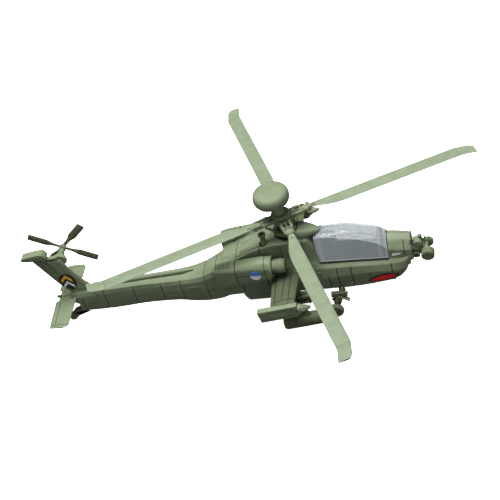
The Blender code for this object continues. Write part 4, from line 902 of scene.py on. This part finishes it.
def blade_outline(radius):
    """Aerofoil corners (offset, height) at a radius: the plan is narrow at the root and swept at the tip."""
    nose = BLADE_NOSE(radius)
    tail = BLADE_TAIL(radius)
    droop = -0.7 * (radius - 11.4) / 61.8
    chord = nose - tail
    half = 0.40
    shape = [(nose, 0.02), (nose - 0.05 * chord, 0.55 * half), (nose - 0.14 * chord, 0.85 * half),
        (nose - 0.32 * chord, half), (nose - 0.6 * chord, 0.72 * half), (tail + 0.06 * chord, 0.32 * half),
        (tail, 0.1), (tail, -0.1), (tail + 0.3 * chord, -0.5 * half), (nose - 0.32 * chord, -0.85 * half),
        (nose - 0.1 * chord, -0.7 * half)]
    return [(offset, height + droop) for offset, height in shape]


BLADE_R = [11.4, 12.6, 14.2, 17.0, 20.0, 24.0, 44.0, 66.4, 68.4, 71.0, 72.6, 73.2]
BLADE_NOSE = monotone(BLADE_R, [1.1, 1.2, 1.3, 1.36, 1.4, 1.4, 1.4, 1.4, 0.9, 0.2, -0.3, -1.1])
BLADE_TAIL = monotone(BLADE_R, [-1.2, -1.4, -1.9, -2.9, -3.6, -3.9, -3.9, -3.9, -4.0, -4.7, -5.18, -5.3])


def blades():
    for index, azimuth in enumerate(AZIMUTHS):
        skin = panelled(f"rotor_blade_{index + 1}", 11.4, 73.2, blade_outline,
            lambda r, o, h, a=azimuth: turn_about_mast(r, o, a, HUB_Z + h), PALE,
            [f"main_blade_{index + 1}"], "main_rotor", step=1.6, radius=0.12,
            across=[(67.0, 0.0, 10.9, 0.03)], reference=40.0, sharp=50.0)
        tool = bmesh.new()
        turn = headed(azimuth)
        block(tool, (1.9, 1.7, 0.86), turn_about_mast(12.0, 0, azimuth, HUB_Z), turn)
        for radius in (11.9, 12.7):
            rod(tool, turn_about_mast(radius, 0.0, azimuth, HUB_Z - 0.6),
                turn_about_mast(radius, 0.0, azimuth, HUB_Z + 0.66), 0.34, sides=12)
        cut(skin, tool, "UNION", sharp=40.0)


# ---------------------------------------------------------------- tail

FIN_Z = [13.0, 16.4, 21.0, 26.5, 31.0, 34.1]
FIN_LEAD = monotone(FIN_Z, [-80.0, -80.2, -83.0, -86.0, -87.7, -89.4])
FIN_TRAIL = monotone(FIN_Z, [-88.6, -91.2, -94.0, -96.7, -98.9, -100.4])


def fin_outline(z):
    lead, trail = FIN_LEAD(z), FIN_TRAIL(z)
    chord = lead - trail
    thick = 1.1 - 0.22 * max(0.0, (z - 16.0) / 18.0) + 0.45 * min(1.0, max(0.0, (19.4 - z) / 3.9))
    upper = [(lead, 0.0), (lead - 0.05 * chord, 0.55 * thick), (lead - 0.16 * chord, 0.88 * thick),
        (lead - 0.42 * chord, thick), (lead - 0.74 * chord, 0.72 * thick), (trail, 0.16)]
    return upper + [(x, -y) for x, y in reversed(upper[1:])]


def tail():
    panelled("fin_skin", 13.0, 34.1, fin_outline, lambda z, x, y: (x, y, z), SAGE, ["tail_fin"], step=1.2,
        radius=0.25, across=[(16.9, 0.0, 11.0, 0.12), (32.9, 0.0, 11.0, 0.12)],
        along=[(4.3, 15.5, 33.0, 0.2), (6.7, 15.5, 33.0, 0.2), (3.5, 24.0, 32.9, 0.14),
        (7.5, 24.0, 32.9, 0.14)], reference=24.0, sharp=45.0)
    bm = bmesh.new()
    outline = [(-92.9, 34.9), (-93.6, 36.6), (-94.4, 37.4), (-98.4, 36.9), (-102.9, 36.1), (-103.2, 35.5),
        (-103.2, 34.6), (-101.5, 34.25), (-94.0, 34.2)]
    prism(bm, outline, -1.7, 1.7)
    rod(bm, (-102.4, 0, 35.2), (-103.15, 0, 35.3), 0.5, 0.35, 14)
    piece("fin_cap_shell", bm, SAGE, ["fin_cap"], bevel=0.2)
    x, y, z = TAIL_AXIS
    bm = bmesh.new()
    levels = [(0.4, 3.3, 2.3), (1.2, 3.2, 2.2), (2.1, 2.8, 1.9), (2.8, 2.0, 1.7), (3.4, 1.55, 1.5),
        (3.9, 1.25, 1.25), (6.2, 1.1, 1.1), (6.5, 0.95, 0.95)]
    loft(bm, [[(x + a * c, level, z + b * s) for c, s in circle(32)] for level, a, b in levels])
    ring_solid(bm, [(1.0, -0.2), (1.45, -0.2), (1.45, 0.2), (1.0, 0.2)], (x, 4.4, z), LEFTWARD, 28)
    piece("tail_gear_case", bm, SAGE, ["tail_gearbox"], sharp=28.0)
    bm = bmesh.new()
    turned(bm, [(0.0, -0.75), (1.0, -0.75), (1.3, -0.6), (1.3, -0.2), (1.0, 0.0), (1.0, 1.45), (0.75, 1.75),
        (0.0, 1.75)], (x, y, z), LEFTWARD, 28)
    for step in range(4):
        a = math.radians(5 + 90 * step)
        rod(bm, (x + 0.9 * math.cos(a), y - 0.5, z + 0.9 * math.sin(a)),
            (x + 1.9 * math.cos(a), y + 0.3, z + 1.9 * math.sin(a)), 0.16, sides=8)
    piece("tail_rotor_head", bm, OLIVE, ["tail_rotor_hub"], "tail_rotor", sharp=30.0)
    for name, degrees, depth in (("inner", -31.0, 0.45), ("outer", 41.0, 1.35)):
        bm = bmesh.new()
        a = math.radians(degrees)
        for sign in (1, -1):
            rings = []
            for radius, across, half in ((-1.6, 0.7, 0.3), (2.4, 0.75, 0.3), (4.0, 0.85, 0.28),
                    (5.2, 1.15, 0.28), (6.4, 1.55, 0.3), (7.2, 1.6, 0.3), (13.3, 1.6, 0.26),
                    (13.85, 1.5, 0.2), (14.0, 1.35, 0.14)):
                ring = []
                for offset, height in ((-1.0, 0.0), (-0.7, 0.7), (-0.2, 1.0), (0.4, 0.8), (1.0, 0.1),
                        (0.4, -0.8), (-0.2, -1.0), (-0.7, -0.7)):
                    along, over = sign * radius, sign * offset * across
                    ring.append((x + along * math.cos(a) - over * math.sin(a), y + depth + height * half,
                        z + along * math.sin(a) + over * math.cos(a)))
                rings.append(ring)
            loft(bm, rings)
            for radius in (3.2, 5.0):
                cx, cz = x + sign * radius * math.cos(a), z + sign * radius * math.sin(a)
                rod(bm, (cx, y + depth - 0.42, cz), (cx, y + depth + 0.42, cz), 0.32, sides=12)
        piece(f"tail_blades_{name}_pair", bm, OLIVE, [f"tail_blades_{name}"], "tail_rotor", sharp=42.0)


def plane_outline(y):
    share = max(0.0, abs(y) - 15.6) / 1.4
    lead = -88.4 - 1.7 * share * share
    trail = -96.9 + 0.8 * abs(y) / 17.0
    if abs(y) < 2.6:
        trail = -95.7
    chord = lead - trail
    half = 0.5 * (1.0 - 0.5 * share)
    return [(lead, 0.0), (lead - 0.06 * chord, 0.6 * half), (lead - 0.25 * chord, half),
        (lead - 0.7 * chord, 0.6 * half), (trail, 0.12), (trail, -0.12), (lead - 0.7 * chord, -0.6 * half),
        (lead - 0.25 * chord, -half), (lead - 0.06 * chord, -0.6 * half)]


def tailplane():
    lines = [(y, 0.0, 9.0, 0.12) for y in (-15.6, 15.6)]
    panelled("tailplane_skin", -17.0, 17.0, plane_outline, lambda y, x, z: (x, y, 13.1 + z), SAGE,
        ["tailplane"], step=0.8, radius=0.15, across=lines, along=[(3.1, -15.2, 15.2, 0.14),
        (5.9, -15.2, 15.2, 0.12)], reference=9.0, sharp=45.0)
    bm = bmesh.new()
    for sign in (1, -1):
        block(bm, (1.6, 1.0, 1.3), (-90.0, sign * 1.9, 13.1))
    block(bm, (1.7, 0.9, 0.9), (-95.6, -0.7, 13.9))
    piece("tailplane_fittings", bm, SHADE, bevel=0.12)


# ---------------------------------------------------------------- engines

NACELLE = [(-27.4, 29.2, 28.6, 18.8, 11.4), (-24.6, 29.8, 28.9, 19.2, 11.9),
    (-15.0, 30.8, 29.2, 20.9, 12.5), (-9.0, 31.2, 29.0, 21.9, 12.8), (-6.4, 30.9, 28.6, 22.5, 13.1)]
NACELLE_CURVES = curves_through(NACELLE)


def nacelle_outline(x):
    top, crease, bottom, outer = (curve(x) for curve in NACELLE_CURVES)
    inner = 6.7
    shrink = 0.5 * max(0.0, (x + 7.6) / 1.2) ** 2
    return [(inner, bottom + 1.2), (inner + 1.0, bottom), (outer - 1.8, bottom),
        (outer - shrink, bottom + 2.0), (outer - shrink, crease), (outer - 1.3, top - 0.5),
        (outer - 2.6, top), (inner + 1.4, top), (inner, top - 0.9)]


def engines():
    lines = [(-26.6, 4.9, 6.9, 0.12), (-25.6, 4.9, 6.9, 0.12), (-24.6, 4.9, 6.9, 0.12),
        (-23.6, 4.9, 6.9, 0.12), (-22.6, 4.9, 6.9, 0.12), (-21.6, 4.9, 6.9, 0.12), (-19.2, 2.0, 7.5, 0.2),
        (-12.9, 3.2, 4.2, 0.1), (-8.2, 1.0, 8.0, 0.1)]
    for side, sign in SIDES:
        skin = panelled(f"engine_housing_{side}", -27.4, -6.4, nacelle_outline,
            lambda x, y, z, s=sign: (x, s * y, z), SAGE, [f"nacelle_{side}"], step=1.0, radius=1.15,
            across=lines, along=[(3.55, -19.2, -7.6, 0.16), (2.5, -27.0, -19.2, 0.12)], reference=-15.0)
        tool = bmesh.new()
        prism(tool, [(7.6, 20.6), (10.4, 20.4), (10.9, 23.0), (10.6, 27.4), (8.0, 27.8), (7.4, 24.0)],
            -30.0, -25.4, "YZ")
        if sign < 0:
            bmesh.ops.scale(tool, vec=(1, -1, 1), verts=tool.verts)
        cut(skin, tool)
        bm = bmesh.new()
        for step in range(5):
            block(bm, (1.6, 3.0, 0.35), (-26.3, sign * 9.1, 21.6 + 1.3 * step), pitched(30))
        block(bm, (0.4, 3.2, 7.0), (-25.6, sign * 9.1, 24.2))
        piece(f"exhaust_louvres_{side}", bm, SHADE, bevel=0.05)
        bm = bmesh.new()
        base, lip = -6.1, 2.2
        turned(bm, [(0.0, -0.4), (4.0, -0.4), (3.95, 0.0), (3.75, 0.3), (3.4, 0.42), (3.2, 0.3), (3.1, 0.0),
            (2.4, 0.0), (2.4, 1.6), (2.6, 1.75), (2.65, 2.1), (2.55, 2.3), (2.65, 2.5), (2.62, 4.0),
            (2.45, 4.6), (2.1, 5.0), (1.5, 5.12), (0.9, 5.0), (0.0, 5.0)], (base, sign * 9.2, 27.0),
            (1, 0, 0), 48)
        ring = piece(f"intake_lip_{side}", bm, SAGE, [f"intake_{side}"], sharp=28.0)
        tool = bmesh.new()
        block(tool, (12.0, 8.8, 18.0), (base + 2.0, sign * (6.7 - 4.4), 27.0))
        cut(ring, tool, sharp=28.0)
        # Painted shade: a black disc deep in each intake.
        bm = bmesh.new()
        turned(bm, [(0.0, 0.0), (3.1, 0.0), (3.1, 0.1), (0.0, 0.1)], (base + 0.03, sign * 9.2, 27.0),
            (1, 0, 0), 32)
        throat = piece(f"intake_throat_shade_{side}", bm, BLACK)
        tool = bmesh.new()
        block(tool, (12.0, 8.8, 18.0), (base + 2.0, sign * (6.72 - 4.4), 27.0))
        cut(throat, tool)
        bm = bmesh.new()
        loft(bm, [[(-27.0, sign * 4.8, 18.6), (-27.0, sign * 7.4, 19.4), (-27.0, sign * 7.4, 24.6),
            (-27.0, sign * 4.8, 24.6)], [(-20.0, sign * 4.9, 18.6), (-20.0, sign * 7.4, 20.6),
            (-20.0, sign * 7.4, 27.2), (-20.0, sign * 4.9, 27.4)],
            [(-7.0, sign * 5.0, 19.0), (-7.0, sign * 7.4, 22.6), (-7.0, sign * 7.4, 27.4),
            (-7.0, sign * 5.0, 28.4)]])
        for x in (-22.0, -16.0, -10.0):
            block(bm, (0.9, 1.4, 1.2), (x, sign * 6.4, 28.0 + 0.08 * (x + 22)))
        piece(f"engine_pylon_{side}", bm, OLIVE, bevel=0.2)


# ---------------------------------------------------------------- wings and stores

TILT = pitched(-7.5)
TILT_AXIS = TILT @ Vector((1, 0, 0))


def wing_outline(y):
    share = (y - 6.0) / 18.0
    chord = 10.7 - 1.5 * share
    half = (1.5 - 0.3 * share) / 2
    return [(chord / 2, 0.0), (0.44 * chord, 0.55 * half), (0.34 * chord, 0.85 * half), (0.1 * chord, half),
        (-0.2 * chord, 0.8 * half), (-chord / 2, 0.22), (-chord / 2, -0.22), (0.1 * chord, -half),
        (0.34 * chord, -0.85 * half), (0.44 * chord, -0.55 * half)]


def tilted(x, y, z, dx, dy, dz):
    moved = TILT @ Vector((dx, 0, dz))
    return (x + moved.x, y + dy, z + moved.z)


def wings():
    for side, sign in SIDES:
        panelled(f"stub_wing_{side}", 5.6, 24.0, wing_outline,
            lambda y, a, b, s=sign: tilted(-2.1, s * y, 21.7, a, 0, b), SHADE, [f"wing_{side}"], step=1.2,
            radius=0.2, across=[(21.9, 0.2, 4.9, 0.14), (9.4, 0.2, 4.9, 0.14)],
            along=[(2.5, 7.4, 23.8, 0.14), (3.45, 9.4, 21.9, 0.14), (4.45, 7.4, 23.8, 0.16)],
            reference=14.0, sharp=40.0)
        y = sign * 25.4
        cx, cz = -3.7, 19.7
        bm = bmesh.new()
        block(bm, (14.8, 2.2, 5.2), (cx, y, cz), TILT)
        obj = piece(f"tip_launcher_rail_{side}", bm, SAGE, [f"tip_launcher_{side}"], bevel=0.3)
        tool = bmesh.new()
        block(tool, (12.6, 0.5, 0.28), tilted(cx, y, cz, -0.6, sign * 1.1, 1.2), TILT)
        block(tool, (12.6, 0.5, 0.28), tilted(cx, y, cz, -0.6, sign * 1.1, -1.3), TILT)
        for shift in (-3.6, 3.2):
            block(tool, (0.26, 2.8, 0.3), tilted(cx, y, cz, shift, 0, 2.6), TILT)
            block(tool, (0.26, 0.5, 4.6), tilted(cx, y, cz, shift, sign * 1.15, 0), TILT)
        for height in (0.0, -2.4):
            block(tool, (1.3, 2.8, 0.8), tilted(cx, y, cz, 7.2, 0, height), TILT)
        cut(obj, tool)
        bm = bmesh.new()
        start = Vector(tilted(cx, y, cz, 7.5, 0, 0.2))
        rod(bm, start, start + TILT_AXIS * 4.2, 1.75, 0.55, 24)
        block(bm, (1.2, 2.5, 2.5), start + TILT_AXIS * 0.3, TILT)
        block(bm, (2.6, 0.3, 2.9), start + TILT_AXIS * 1.2, TILT)
        block(bm, (2.6, 2.9, 0.3), start + TILT_AXIS * 1.2, TILT)
        piece(f"missile_nose_{side}", bm, PALE, [f"tip_seeker_{side}"], bevel=0.08)
        store_pod(side, sign)
        missiles(side, sign)


def pylon(bm, y, x, foot, width):
    slope = math.tan(math.radians(7.5))
    outline = [(x - 3.2, foot - 3.2 * slope), (x + 3.2, foot + 3.2 * slope),
        (1.1, 20.65 + 3.2 * slope - 0.1), (-5.3, 20.65 - 3.2 * slope - 0.1)]
    prism(bm, outline, y - width / 2, y + width / 2)


def store_pod(side, sign):
    y, x, z = sign * 20.6, 4.0, 10.2
    bm = bmesh.new()
    profile = [(0.0, -8.2), (2.2, -8.2), (2.6, -7.6), (2.6, -3.5), (2.45, -3.4), (2.45, -3.15),
        (2.6, -3.05), (2.6, 2.2), (2.45, 2.3), (2.45, 2.55), (2.6, 2.65), (2.6, 6.2), (2.45, 7.0),
        (2.1, 7.8), (1.9, 8.2), (0.0, 8.2)]
    turned(bm, profile, (x, y, z), TILT_AXIS, 36)
    pod = piece(f"rocket_pod_shell_{side}", bm, SHADE, [f"rocket_pod_{side}"], sharp=28.0)
    tool = bmesh.new()
    for ring, count in ((0.0, 1), (0.75, 6), (1.45, 12)):
        for c, s in circle(count):
            hole = Vector(tilted(x, y, z, 6.9, ring * c, ring * s))
            rod(tool, hole, hole + TILT_AXIS * 3.0, 0.27, sides=10)
    cut(pod, tool, sharp=28.0)
    # Painted shade: black discs at the bottom of the front tube holes and on the rear face.
    bm = bmesh.new()
    turned(bm, [(0.0, 0.0), (1.95, 0.0), (1.95, 0.1), (0.0, 0.1)], tilted(x, y, z, 6.85, 0, 0), TILT_AXIS,
        24)
    turned(bm, [(0.0, 0.0), (1.75, 0.0), (1.75, 0.06), (0.0, 0.06)], tilted(x, y, z, -8.24, 0, 0),
        TILT_AXIS, 24)
    piece(f"rocket_pod_tube_shade_{side}", bm, BLACK)
    bm = bmesh.new()
    pylon(bm, y, 3.0, 12.4, 1.2)
    for shift in (-2.2, 2.0):
        block(bm, (0.6, 2.4, 0.9), tilted(3.0, y, 13.1, shift, 0, 0), TILT)
    piece(f"outer_pylon_fairing_{side}", bm, SHADE, [f"outer_pylon_{side}"], bevel=0.2)


def missiles(side, sign):
    y, x, z = sign * 14.16, 2.2, 14.6
    bm = bmesh.new()
    block(bm, (9.0, 1.0, 1.0), (x, y, z), TILT)
    for shift in (-3.2, 3.2):
        block(bm, (0.8, 3.6, 3.6), tilted(x, y, z, shift, 0, 0), TILT)
    pylon(bm, y, 1.2, 15.0, 1.2)
    piece(f"missile_frame_{side}", bm, SHADE, [f"missile_rack_{side}"], bevel=0.12)
    bm = bmesh.new()
    for dy in (-1.0, 1.0):
        for dz in (-1.1, 1.1):
            start = Vector(tilted(x, y, z, -6.4, dy, dz))
            turned(bm, [(0.0, 0.0), (0.7, 0.0), (0.82, 0.3), (0.82, 10.2), (0.72, 11.4), (0.45, 12.4),
                (0.2, 12.8), (0.0, 12.9)], start, TILT_AXIS, 18)
            for turn in (45.0, 135.0):
                a = math.radians(turn)
                fin = TILT @ Matrix.Rotation(a, 3, "X")
                block(bm, (1.4, 0.14, 2.3), start + TILT_AXIS * 1.2, fin)
    piece(f"rack_missiles_{side}", bm, SHADE, sharp=30.0)


# ---------------------------------------------------------------- landing gear, belly and gun

def wheel(name, centre, radius, width, bore, body, node_name):
    half = width / 2
    x, y, z = centre
    bm = bmesh.new()
    hub_r = radius * 0.55
    ring_solid(bm, [(hub_r, -half * 0.72), (hub_r + 0.1 * radius, -half * 0.95), (radius * 0.84, -half),
        (radius * 0.95, -half * 0.72), (radius, -half * 0.3), (radius * 0.985, -half * 0.22),
        (radius * 0.985, -half * 0.1), (radius, 0.0), (radius * 0.985, half * 0.1),
        (radius * 0.985, half * 0.22), (radius, half * 0.3), (radius * 0.95, half * 0.72),
        (radius * 0.84, half), (hub_r + 0.1 * radius, half * 0.95), (hub_r, half * 0.72)], (x, y, z),
        LEFTWARD, 44)
    ring_solid(bm, [(bore, -half * 0.85), (bore + 0.12 * radius, -half * 0.85),
        (bore + 0.14 * radius, -half * 0.45), (hub_r + 0.02, -half * 0.45), (hub_r + 0.02, half * 0.45),
        (bore + 0.14 * radius, half * 0.45), (bore + 0.12 * radius, half * 0.85), (bore, half * 0.85)],
        (x, y, z), LEFTWARD, 36)
    spot = (bore + hub_r) * 0.52
    for c, s in circle(6):
        at_x, at_z = x + spot * c, z + spot * s
        rod(bm, (at_x, y - half * 0.6, at_z), (at_x, y + half * 0.6, at_z), 0.06 * radius, sides=8)
    piece(name, bm, WHEEL, [node_name], body, sharp=30.0)


def landing_gear():
    for side, sign in SIDES:
        bm = bmesh.new()
        sweep(bm, [(16.4, sign * 6.4, 9.8), (15.6, sign * 7.6, 8.8), (14.6, sign * 8.75, 7.6),
            (13.5, sign * 8.8, 5.4), (12.9, sign * 8.65, 3.6), (12.9, sign * 8.65, 2.2)],
            [1.25, 1.05, 0.95, 0.85, 0.8, 0.7], 16)
        rod(bm, (14.3, sign * 8.78, 6.9), (13.3, sign * 8.8, 4.9), 1.08, 1.0, 18)
        rod(bm, (12.9, sign * 8.0, 2.85), (12.9, sign * 11.4, 2.85), 0.6, sides=18)
        rod(bm, (12.9, sign * 11.3, 2.85), (12.9, sign * 11.75, 2.85), 0.75, 0.6, 16)
        block(bm, (2.2, 1.6, 1.6), (16.0, sign * 6.9, 9.2))
        rod(bm, (14.6, sign * 8.8, 7.4), (15.2, sign * 6.6, 7.0), 0.42, sides=12)
        block(bm, (0.7, 0.6, 2.6), (14.8, sign * 9.0, 5.2), pitched(24))
        block(bm, (2.6, 1.7, 1.5), (13.4, sign * 8.3, 8.9))
        block(bm, (2.2, 1.5, 1.3), (16.9, sign * 8.3, 8.7), pitched(18))
        ball(bm, (15.1, sign * 8.6, 7.6), (1.5, 1.2, 1.2), 18)
        rod(bm, (12.6, sign * 8.6, 9.4), (17.6, sign * 8.6, 9.6), 0.55, sides=14)
        block(bm, (1.4, 0.6, 1.9), (12.7, sign * 7.8, 5.6), pitched(-20))
        piece(f"gear_strut_{side}", bm, SHADE, [f"gear_leg_{side}"], bevel=0.08)
        bm = bmesh.new()
        sweep(bm, [(14.3, sign * 8.3, 8.0), (15.6, sign * 8.6, 7.4), (17.0, sign * 8.9, 6.6),
            (18.0, sign * 9.1, 6.0)], [0.35, 0.4, 0.4, 0.3], 12)
        block(bm, (3.0, 1.5, 0.4), (17.2, sign * 9.0, 7.0), pitched(34))
        piece(f"gear_step_{side}", bm, SAGE, bevel=0.08)
        wheel(f"main_wheel_{side}", (12.9, sign * 10.7, 2.85), 2.85, 2.0, 0.95, f"wheel_{side}_body",
            f"wheel_{side}")
    bm = bmesh.new()
    for sign in (1, -1):
        prism(bm, [(-87.6, 6.0), (-84.4, 6.0), (-86.4, 4.6), (-90.9, 3.0), (-93.2, 0.95), (-95.0, 0.95),
            (-95.2, 1.4), (-95.1, 2.5), (-93.8, 3.4), (-92.6, 4.8)], sign * 0.85, sign * 1.5)
    prism(bm, [(-87.6, 6.9), (-84.4, 6.9), (-86.2, 4.7), (-90.4, 3.2), (-92.0, 4.2), (-92.4, 4.8)], -1.5,
        1.5)
    piece("tail_leg", bm, OLIVE, ["tail_fork"], bevel=0.15)
    bm = bmesh.new()
    rod(bm, (-94.2, -1.6, 1.75), (-94.2, 1.6, 1.75), 0.34, sides=16)
    for sign in (1, -1):
        rod(bm, (-94.2, sign * 1.45, 1.75), (-94.2, sign * 1.75, 1.75), 0.55, 0.45, 14)
    piece("tail_wheel_pin", bm, OLIVE, ["tail_axle"])
    wheel("tail_wheel_tyre", (-94.2, 0, 1.75), 1.75, 1.1, 0.7, "tail_wheel_body", "tail_wheel")


def belly():
    bm = bmesh.new()
    stations = [(-21.6, 7.8, 3.9), (-20.6, 6.0, 4.0), (-20.0, 5.35, 4.1), (-19.4, 5.3, 4.2),
        (-12.2, 5.3, 4.2), (-11.6, 5.4, 4.1), (-10.9, 6.6, 4.0), (-10.4, 7.8, 3.9)]
    rings = []
    for x, low, half in stations:
        rings.append([(x, -half + 0.6, low), (x, half - 0.6, low), (x, half - 0.15, low + 0.35),
            (x, half, max(low + 0.6, 8.0)), (x, half, 10.2), (x, -half, 10.2),
            (x, -half, max(low + 0.6, 8.0)), (x, -half + 0.15, low + 0.35)])
    loft(bm, rings)
    obj = piece("belly_pack", bm, SAGE, ["stand_block"], bevel=0.12)
    hollow = bmesh.new()
    for sign in (1, -1):
        for x in (-18.8, -15.9, -13.0):
            block(hollow, (0.22, 0.5, 3.4), (x, sign * 4.2, 7.4))
    block(hollow, (8.4, 0.3, 0.24), (-15.8, 4.2, 7.7))
    block(hollow, (8.4, 0.3, 0.24), (-15.8, -4.2, 7.7))
    cut(obj, hollow)
    bm = bmesh.new()
    x, z = 24.0, 6.2
    block(bm, (4.6, 1.9, 1.5), (x - 0.3, 0, z))
    block(bm, (1.6, 2.2, 1.8), (x + 2.2, 0, z))
    block(bm, (1.2, 1.5, 2.0), (x - 2.2, 0, z + 0.3))
    rod(bm, (x, 0, z), (x, 0, 9.2), 0.9, sides=20)
    rod(bm, (x + 2.0, 0, z), (x + 11.1, 0, z), 0.36, sides=16)
    rod(bm, (x + 2.6, 0, z), (x + 5.6, 0, z), 0.62, 0.5, 16)
    rod(bm, (x + 9.8, 0, z), (x + 11.3, 0, z), 0.55, sides=16)
    for shift in (3.4, 4.3, 5.2):
        rod(bm, (x + shift, 0, z), (x + shift + 0.25, 0, z), 0.72, sides=16)
    rod(bm, (x - 1.6, -1.3, z + 0.2), (x - 1.6, 1.3, z + 0.2), 0.7, sides=18)
    piece("gun_assembly", bm, SHADE, ["chain_gun"], "gun", bevel=0.08)
    bm = bmesh.new()
    turned(bm, [(0.0, 7.5), (2.2, 7.5), (2.5, 7.9), (2.5, 10.4), (0.0, 10.4)], (24.0, 0, 0), UP, 32)
    ring = piece("gun_collar", bm, OLIVE, sharp=28.0)
    tool = bmesh.new()
    rod(tool, (24.0, 0, 6.0), (24.0, 0, 9.6), 1.25, sides=24)
    cut(ring, tool, sharp=28.0)


# ---------------------------------------------------------------- generic markings

def ellipse(centre, rx, rz, y, first=0.0, last=360.0, count=28):
    points = []
    for step in range(count + 1):
        a = math.radians(first + (last - first) * step / count)
        points.append((centre[0] + rx * math.cos(a), y, centre[1] + rz * math.sin(a)))
    return points[:-1] if last - first >= 360.0 else points


def markings():
    for side, sign in SIDES:
        target = bpy.data.objects[f"engine_housing_{side}"]
        y = sign * 13.0
        look = (0, -sign, 0)
        spot = (-12.0, 26.3)
        decal(f"disc_marking_{side}", [(WHITE, ellipse(spot, 2.0, 2.0, y, 180, 360)),
            (SKY, ellipse(spot, 2.0, 2.0, y, 0, 180))], target, look)
        body = bpy.data.objects[f"body_half_{side}"]
        y = sign * 8.0
        stripe = [(25.8, 11.6), (27.6, 13.9), (30.6, 15.5), (34.0, 16.2), (38.0, 15.0), (37.2, 13.2),
            (34.6, 11.9), (30.4, 11.0)]
        inner = [(26.9, 11.9), (28.6, 13.3), (31.0, 14.5), (34.0, 15.2), (36.9, 14.5), (36.2, 13.4),
            (34.2, 12.4), (30.4, 11.5)]
        decal(f"red_stripe_{side}", [(INK, [(x, y, z) for x, z in stripe]),
            (RED, [(x, y, z) for x, z in inner])], body, look)
        bar = [(36.4, 22.3), (39.3, 22.5), (39.6, 23.3), (36.6, 23.5)]
        decal(f"white_bar_{side}", [(WHITE, [(x, sign * 8.0, z) for x, z in bar])], body, look)
        fin = bpy.data.objects["fin_skin"]
        y = sign * 3.0
        centre = (-89.3, 21.4)
        up = [(-91.7, 20.0), (-89.4, 22.6), (-87.1, 20.4), (-87.1, 21.7), (-89.4, 24.1), (-91.7, 21.5)]
        low = [(x, z - 2.4) for x, z in up]
        decal(f"fin_badge_{side}", [(INK, ellipse(centre, 3.5, 4.2, y)),
            (YELLOW, [(x, y, z + 0.9) for x, z in up]), (WHITE, [(x, y, z + 0.3) for x, z in low])], fin,
            look)


# ---------------------------------------------------------------- stage

def stage():
    bm = bmesh.new()
    block(bm, (6.0, 6.0, 0.01), (0, 0, -0.0052))
    material, tree, shader = plastic("studio_floor_white")
    feed(tree, shader, {"Base Color": (0.9, 0.9, 0.9, 1.0), "Roughness": 0.9,
        "Emission Color": (1.0, 1.0, 1.0, 1.0), "Emission Strength": 1.0})
    floor = added("studio_floor", bm, material)
    floor.visible_diffuse = False
    floor.visible_glossy = False


def light(name, place, target, size, power, colour=(1.0, 1.0, 1.0)):
    data = bpy.data.lights.new(name, "AREA")
    data.shape = "SQUARE"
    data.size = size
    data.energy = power
    data.color = colour
    obj = bpy.data.objects.new(name, data)
    obj.location = Vector(place)
    obj.rotation_mode = "QUATERNION"
    obj.rotation_quaternion = (Vector(target) - Vector(place)).to_track_quat("-Z", "Y")
    bpy.context.scene.collection.objects.link(obj)


def studio():
    world = bpy.data.worlds.new("studio")
    bpy.context.scene.world = world
    world.use_nodes = True
    background = world.node_tree.nodes["Background"]
    background.inputs["Color"].default_value = (1.0, 1.0, 1.0, 1.0)
    background.inputs["Strength"].default_value = 0.15
    light("overhead_softbox", (-0.04, 0.06, 0.80), (0, 0, 0.02), 0.50, 13.0)
    light("front_fill", (0.35, -0.7, 0.40), (0, 0, 0.02), 0.5, 1.5)
    bpy.context.scene.view_settings.view_transform = "Standard"


def camera():
    """Three-quarter view from the front right and above, rolled as the subject is held."""
    data = bpy.data.cameras.new("main_camera")
    data.lens = 80.76
    data.sensor_width = 36.0
    data.sensor_fit = "AUTO"
    data.clip_start = 0.01
    data.clip_end = 20.0
    data.dof.use_dof = False
    obj = bpy.data.objects.new("main_camera", data)
    bpy.context.scene.collection.objects.link(obj)
    azimuth, elevation, roll = (math.radians(value) for value in (18.90, 41.42, 18.62))
    back = Vector((math.sin(azimuth) * math.cos(elevation), -math.cos(azimuth) * math.cos(elevation),
        math.sin(elevation)))
    right = Vector((math.cos(azimuth), math.sin(azimuth), 0.0))
    up = back.cross(right)
    c, s = math.cos(roll), math.sin(roll)
    across = right * c - up * s
    upward = right * s + up * c
    turn = Matrix((across, upward, back)).transposed()
    obj.matrix_world = Matrix.Translation(Vector((84.6 + AXIS_X, -291.3, 299.1)) * MM) @ turn.to_4x4()
    bpy.context.scene.camera = obj


body_halves()
body_details()
canopy()
cockpit()
nose()
mast_fairing()
mast()
radome()
hub()
blades()
tail()
tailplane()
engines()
wings()
landing_gear()
belly()
markings()
stage()
studio()
camera()
save_size()
